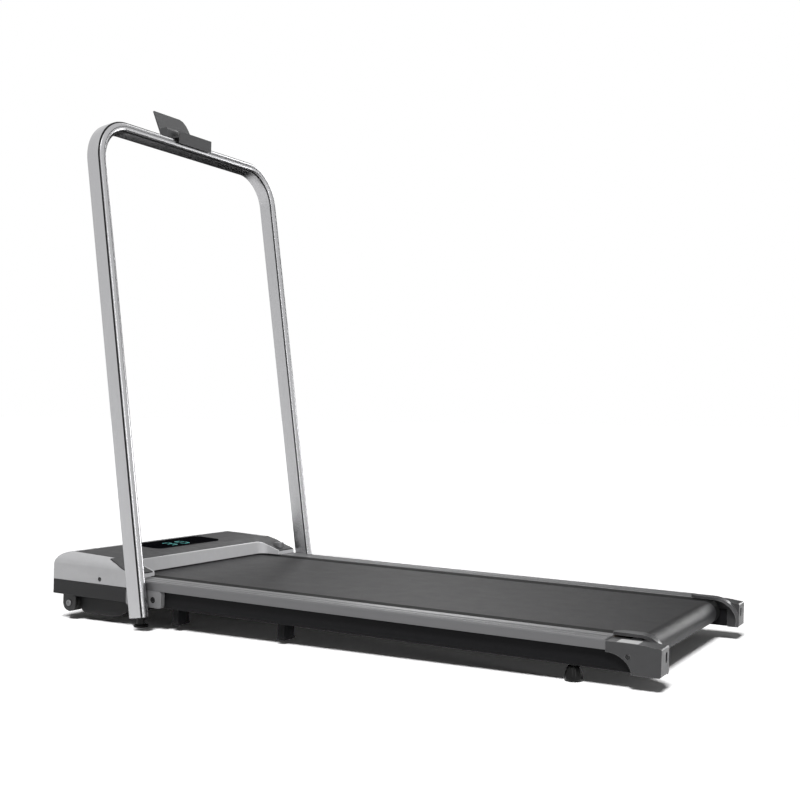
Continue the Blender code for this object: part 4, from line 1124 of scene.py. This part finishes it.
@dataclass
class Studio:
    """Pale floor, white surroundings, reflected cards, lamps and the camera."""

    floor_half: float = 60.0
    floor_z: float = -0.0004
    floor_tone: float = 0.45         # what the object receives back from the floor
    over_white: float = 1.12         # how bright the lit floor looks, 1 being white
    fill: float = 0.05               # how strongly the surroundings light the object
    key: float = 2.8                 # irradiance of the main light
    key_from: Triple = (0.2, -0.70, 1.0)
    key_wide: float = 16.0           # degrees that the main light spans
    card_x: Pair = (-6.0, 3.0)
    card_y: float = 4.0              # where the flat card ends and the upright ones stand
    card_z: float = 0.001
    uprights: tuple[Triple, ...] = ((-6.0, -1.5, 1.4), (-1.5, 1.8, 4.5))     # from x, to x, height
    fade: Pair = (0.45, 1.10)        # the flat card darkens from the first y to the second
    focal: float = 52.90
    camera_rows: tuple[Four, ...] = (
        (0.8764, -0.00304, 0.48157, 1.11022), (0.48145, -0.01752, -0.8763, -1.9843),
        (0.0111, 0.99984, -0.01389, 0.40797), (0.0, 0.0, 0.0, 1.0))

    def seen_white(self, sh: Shade) -> bpy.types.NodeSocket:
        """A mask of the rays that see the floor and the surroundings white.

        Args:
            sh: the shade that it is made in.

        Returns:
            1 for rays from the camera, a reflection or a clear pane, otherwise 0.
        """
        path = sh.add("LightPath").outputs
        straight = sh.math("MAXIMUM", path["Is Camera Ray"], path["Is Transmission Ray"])
        return sh.math("MAXIMUM", straight, path["Is Glossy Ray"])

    def white(self) -> Four:
        """The floor colour that shows a little over white under these lights."""
        level = self.over_white / (self.fill + Vector(self.key_from).normalized().z * self.key / math.pi)
        return (level, level, level, 1.0)

    def world(self) -> None:
        """White surroundings that light less than they show."""
        world = bpy.data.worlds.new("surroundings")
        bpy.context.scene.world = world
        world.use_nodes = True
        sh = Shade(world.node_tree)
        strength = sh.math("MULTIPLY_ADD", self.seen_white(sh), 1.0 - self.fill, self.fill)
        sh.feed(world.node_tree.nodes["Background"], {"Color": (1.0, 1.0, 1.0, 1.0), "Strength": strength})

    def sheet(self, name: str, outlines: Iterable[Sequence[Triple]],
              tint: Callable[[Shade], bpy.types.NodeSocket]) -> bpy.types.Object:
        """A matt sheet of the stage.

        Args:
            name: its name.
            outlines: the corners of each of its faces.
            tint: makes its colour in a given shade.

        Returns:
            The new object.
        """
        bm = bmesh.new()
        for outline in outlines:
            bm.faces.new([bm.verts.new(spot) for spot in outline])
        mesh = bpy.data.meshes.new(name)
        bm.to_mesh(mesh)
        bm.free()
        paint = bpy.data.materials.new(name + "_paint")
        paint.use_nodes = True
        paint.node_tree.nodes.clear()
        sh = Shade(paint.node_tree)
        sh.add("OutputMaterial", Surface=sh.add("BsdfDiffuse", Color=tint(sh)).outputs[0])
        mesh.materials.append(paint)
        thing = placed(name, mesh)
        return thing

    def floor_tint(self, sh: Shade) -> bpy.types.NodeSocket:
        """White where it is seen, darker in the light that it throws back."""
        return sh.blend(self.seen_white(sh), (self.floor_tone,) * 3 + (1.0,), self.white())

    def card_tint(self, sh: Shade) -> bpy.types.NodeSocket:
        """The floor's white near the object, fading to dark farther off.

        Args:
            sh: the card's shade.

        Returns:
            The colour's socket.
        """
        near, far = self.fade
        along = sh.add("SeparateXYZ", Vector=sh.spot()).outputs["Y"]
        dark = sh.math("MULTIPLY_ADD", along, 1.0 / (far - near), -near / (far - near))
        return sh.blend(dark, self.white(), (0.01, 0.01, 0.01, 1.0))

    def floor(self) -> None:
        """A wide pale floor under the feet, white to the camera where no shadow lies."""
        s, z = self.floor_half, self.floor_z
        self.sheet("floor", [((-s, -s, z), (s, -s, z), (s, s, z), (-s, s, z))], self.floor_tint)

    def dark_card(self) -> None:
        """Dark cards beyond the object that show only in its reflections, as in a photo studio."""
        (x0, x1), near, end, z = self.card_x, self.fade[0], self.card_y, self.card_z
        faces = [((x0, near, z), (x1, near, z), (x1, end, z), (x0, end, z))]
        faces += [((a, end, z), (b, end, z), (b, end, top), (a, end, top)) for a, b, top in self.uprights]
        card = self.sheet("dark_card", faces, self.card_tint)
        card.visible_camera = card.visible_diffuse = card.visible_shadow = card.visible_transmission = False

    def overhead(self) -> None:
        """The main light from above, with a soft edge to its shadow."""
        light = bpy.data.lights.new("overhead", "SUN")
        light.energy = self.key
        light.angle = math.radians(self.key_wide)
        thing = placed("overhead", light)
        thing.rotation_euler = Vector(self.key_from).to_track_quat("Z", "Y").to_euler()

    def lamp(self, name: str, at: Triple, aim: Triple, size: Pair, power: float, glint: bool = True,
             wash: bool = True) -> None:
        """A soft box.

        Args:
            name: lamp name.
            at: where it hangs.
            aim: the point that it faces.
            size: its width and height in metres.
            power: its output in watts.
            glint: whether it shows in reflections.
            wash: whether it lights matt surfaces.
        """
        light = bpy.data.lights.new(name, "AREA")
        light.energy = power
        light.shape = "RECTANGLE"
        light.size, light.size_y = size
        thing = placed(name, light)
        thing.location = at
        thing.rotation_euler = (Vector(aim) - Vector(at)).to_track_quat("-Z", "Y").to_euler()
        thing.visible_glossy, thing.visible_diffuse = glint, wash

    def build(self) -> None:
        """Set the scene up."""
        self.world()
        self.floor()
        self.dark_card()
        self.overhead()
        self.lamp("far_side", (-1.2, 3.4, 2.7), (-0.2, 0.0, 0.5), (2.0, 2.0), 40.0, wash=False)
        self.lamp("near_strip", (2.4, -2.3, 1.0), (-0.45, 0.0, 0.6), (0.25, 2.0), 12.0, wash=False)
        self.lamp("far_strip", (0.9, 3.7, 1.7), (-0.45, 0.0, 0.8), (0.25, 2.2), 9.0, wash=False)
        self.lamp("tail_edge", (1.3, 3.6, 0.55), (0.6, 0.0, 0.1), (1.3, 1.0), 26.0, wash=False)
        self.lamp("tail_side", (9.0, -1.1, 0.27), (0.0, 0.0, 0.13), (2.8, 0.22), 520.0, glint=False)
        camera = bpy.data.cameras.new("camera")
        camera.sensor_width = 36.0
        camera.lens = self.focal
        eye = placed("camera", camera)
        eye.matrix_world = Matrix(self.camera_rows)
        bpy.context.scene.camera = eye
        bpy.context.scene.view_settings.view_transform = "Standard"


def main() -> None:
    """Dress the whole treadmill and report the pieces."""
    logging.basicConfig(level=logging.INFO, format="%(message)s")
    parts = (Studio(), Hood(), Display(), Belt(), Deck(), EndCaps(), Hinge(), Handrail(), Cradle(), Feet(),
             Wheels(), Fasteners())
    for part in parts:
        part.build()


if __name__ == "__main__":
    main()
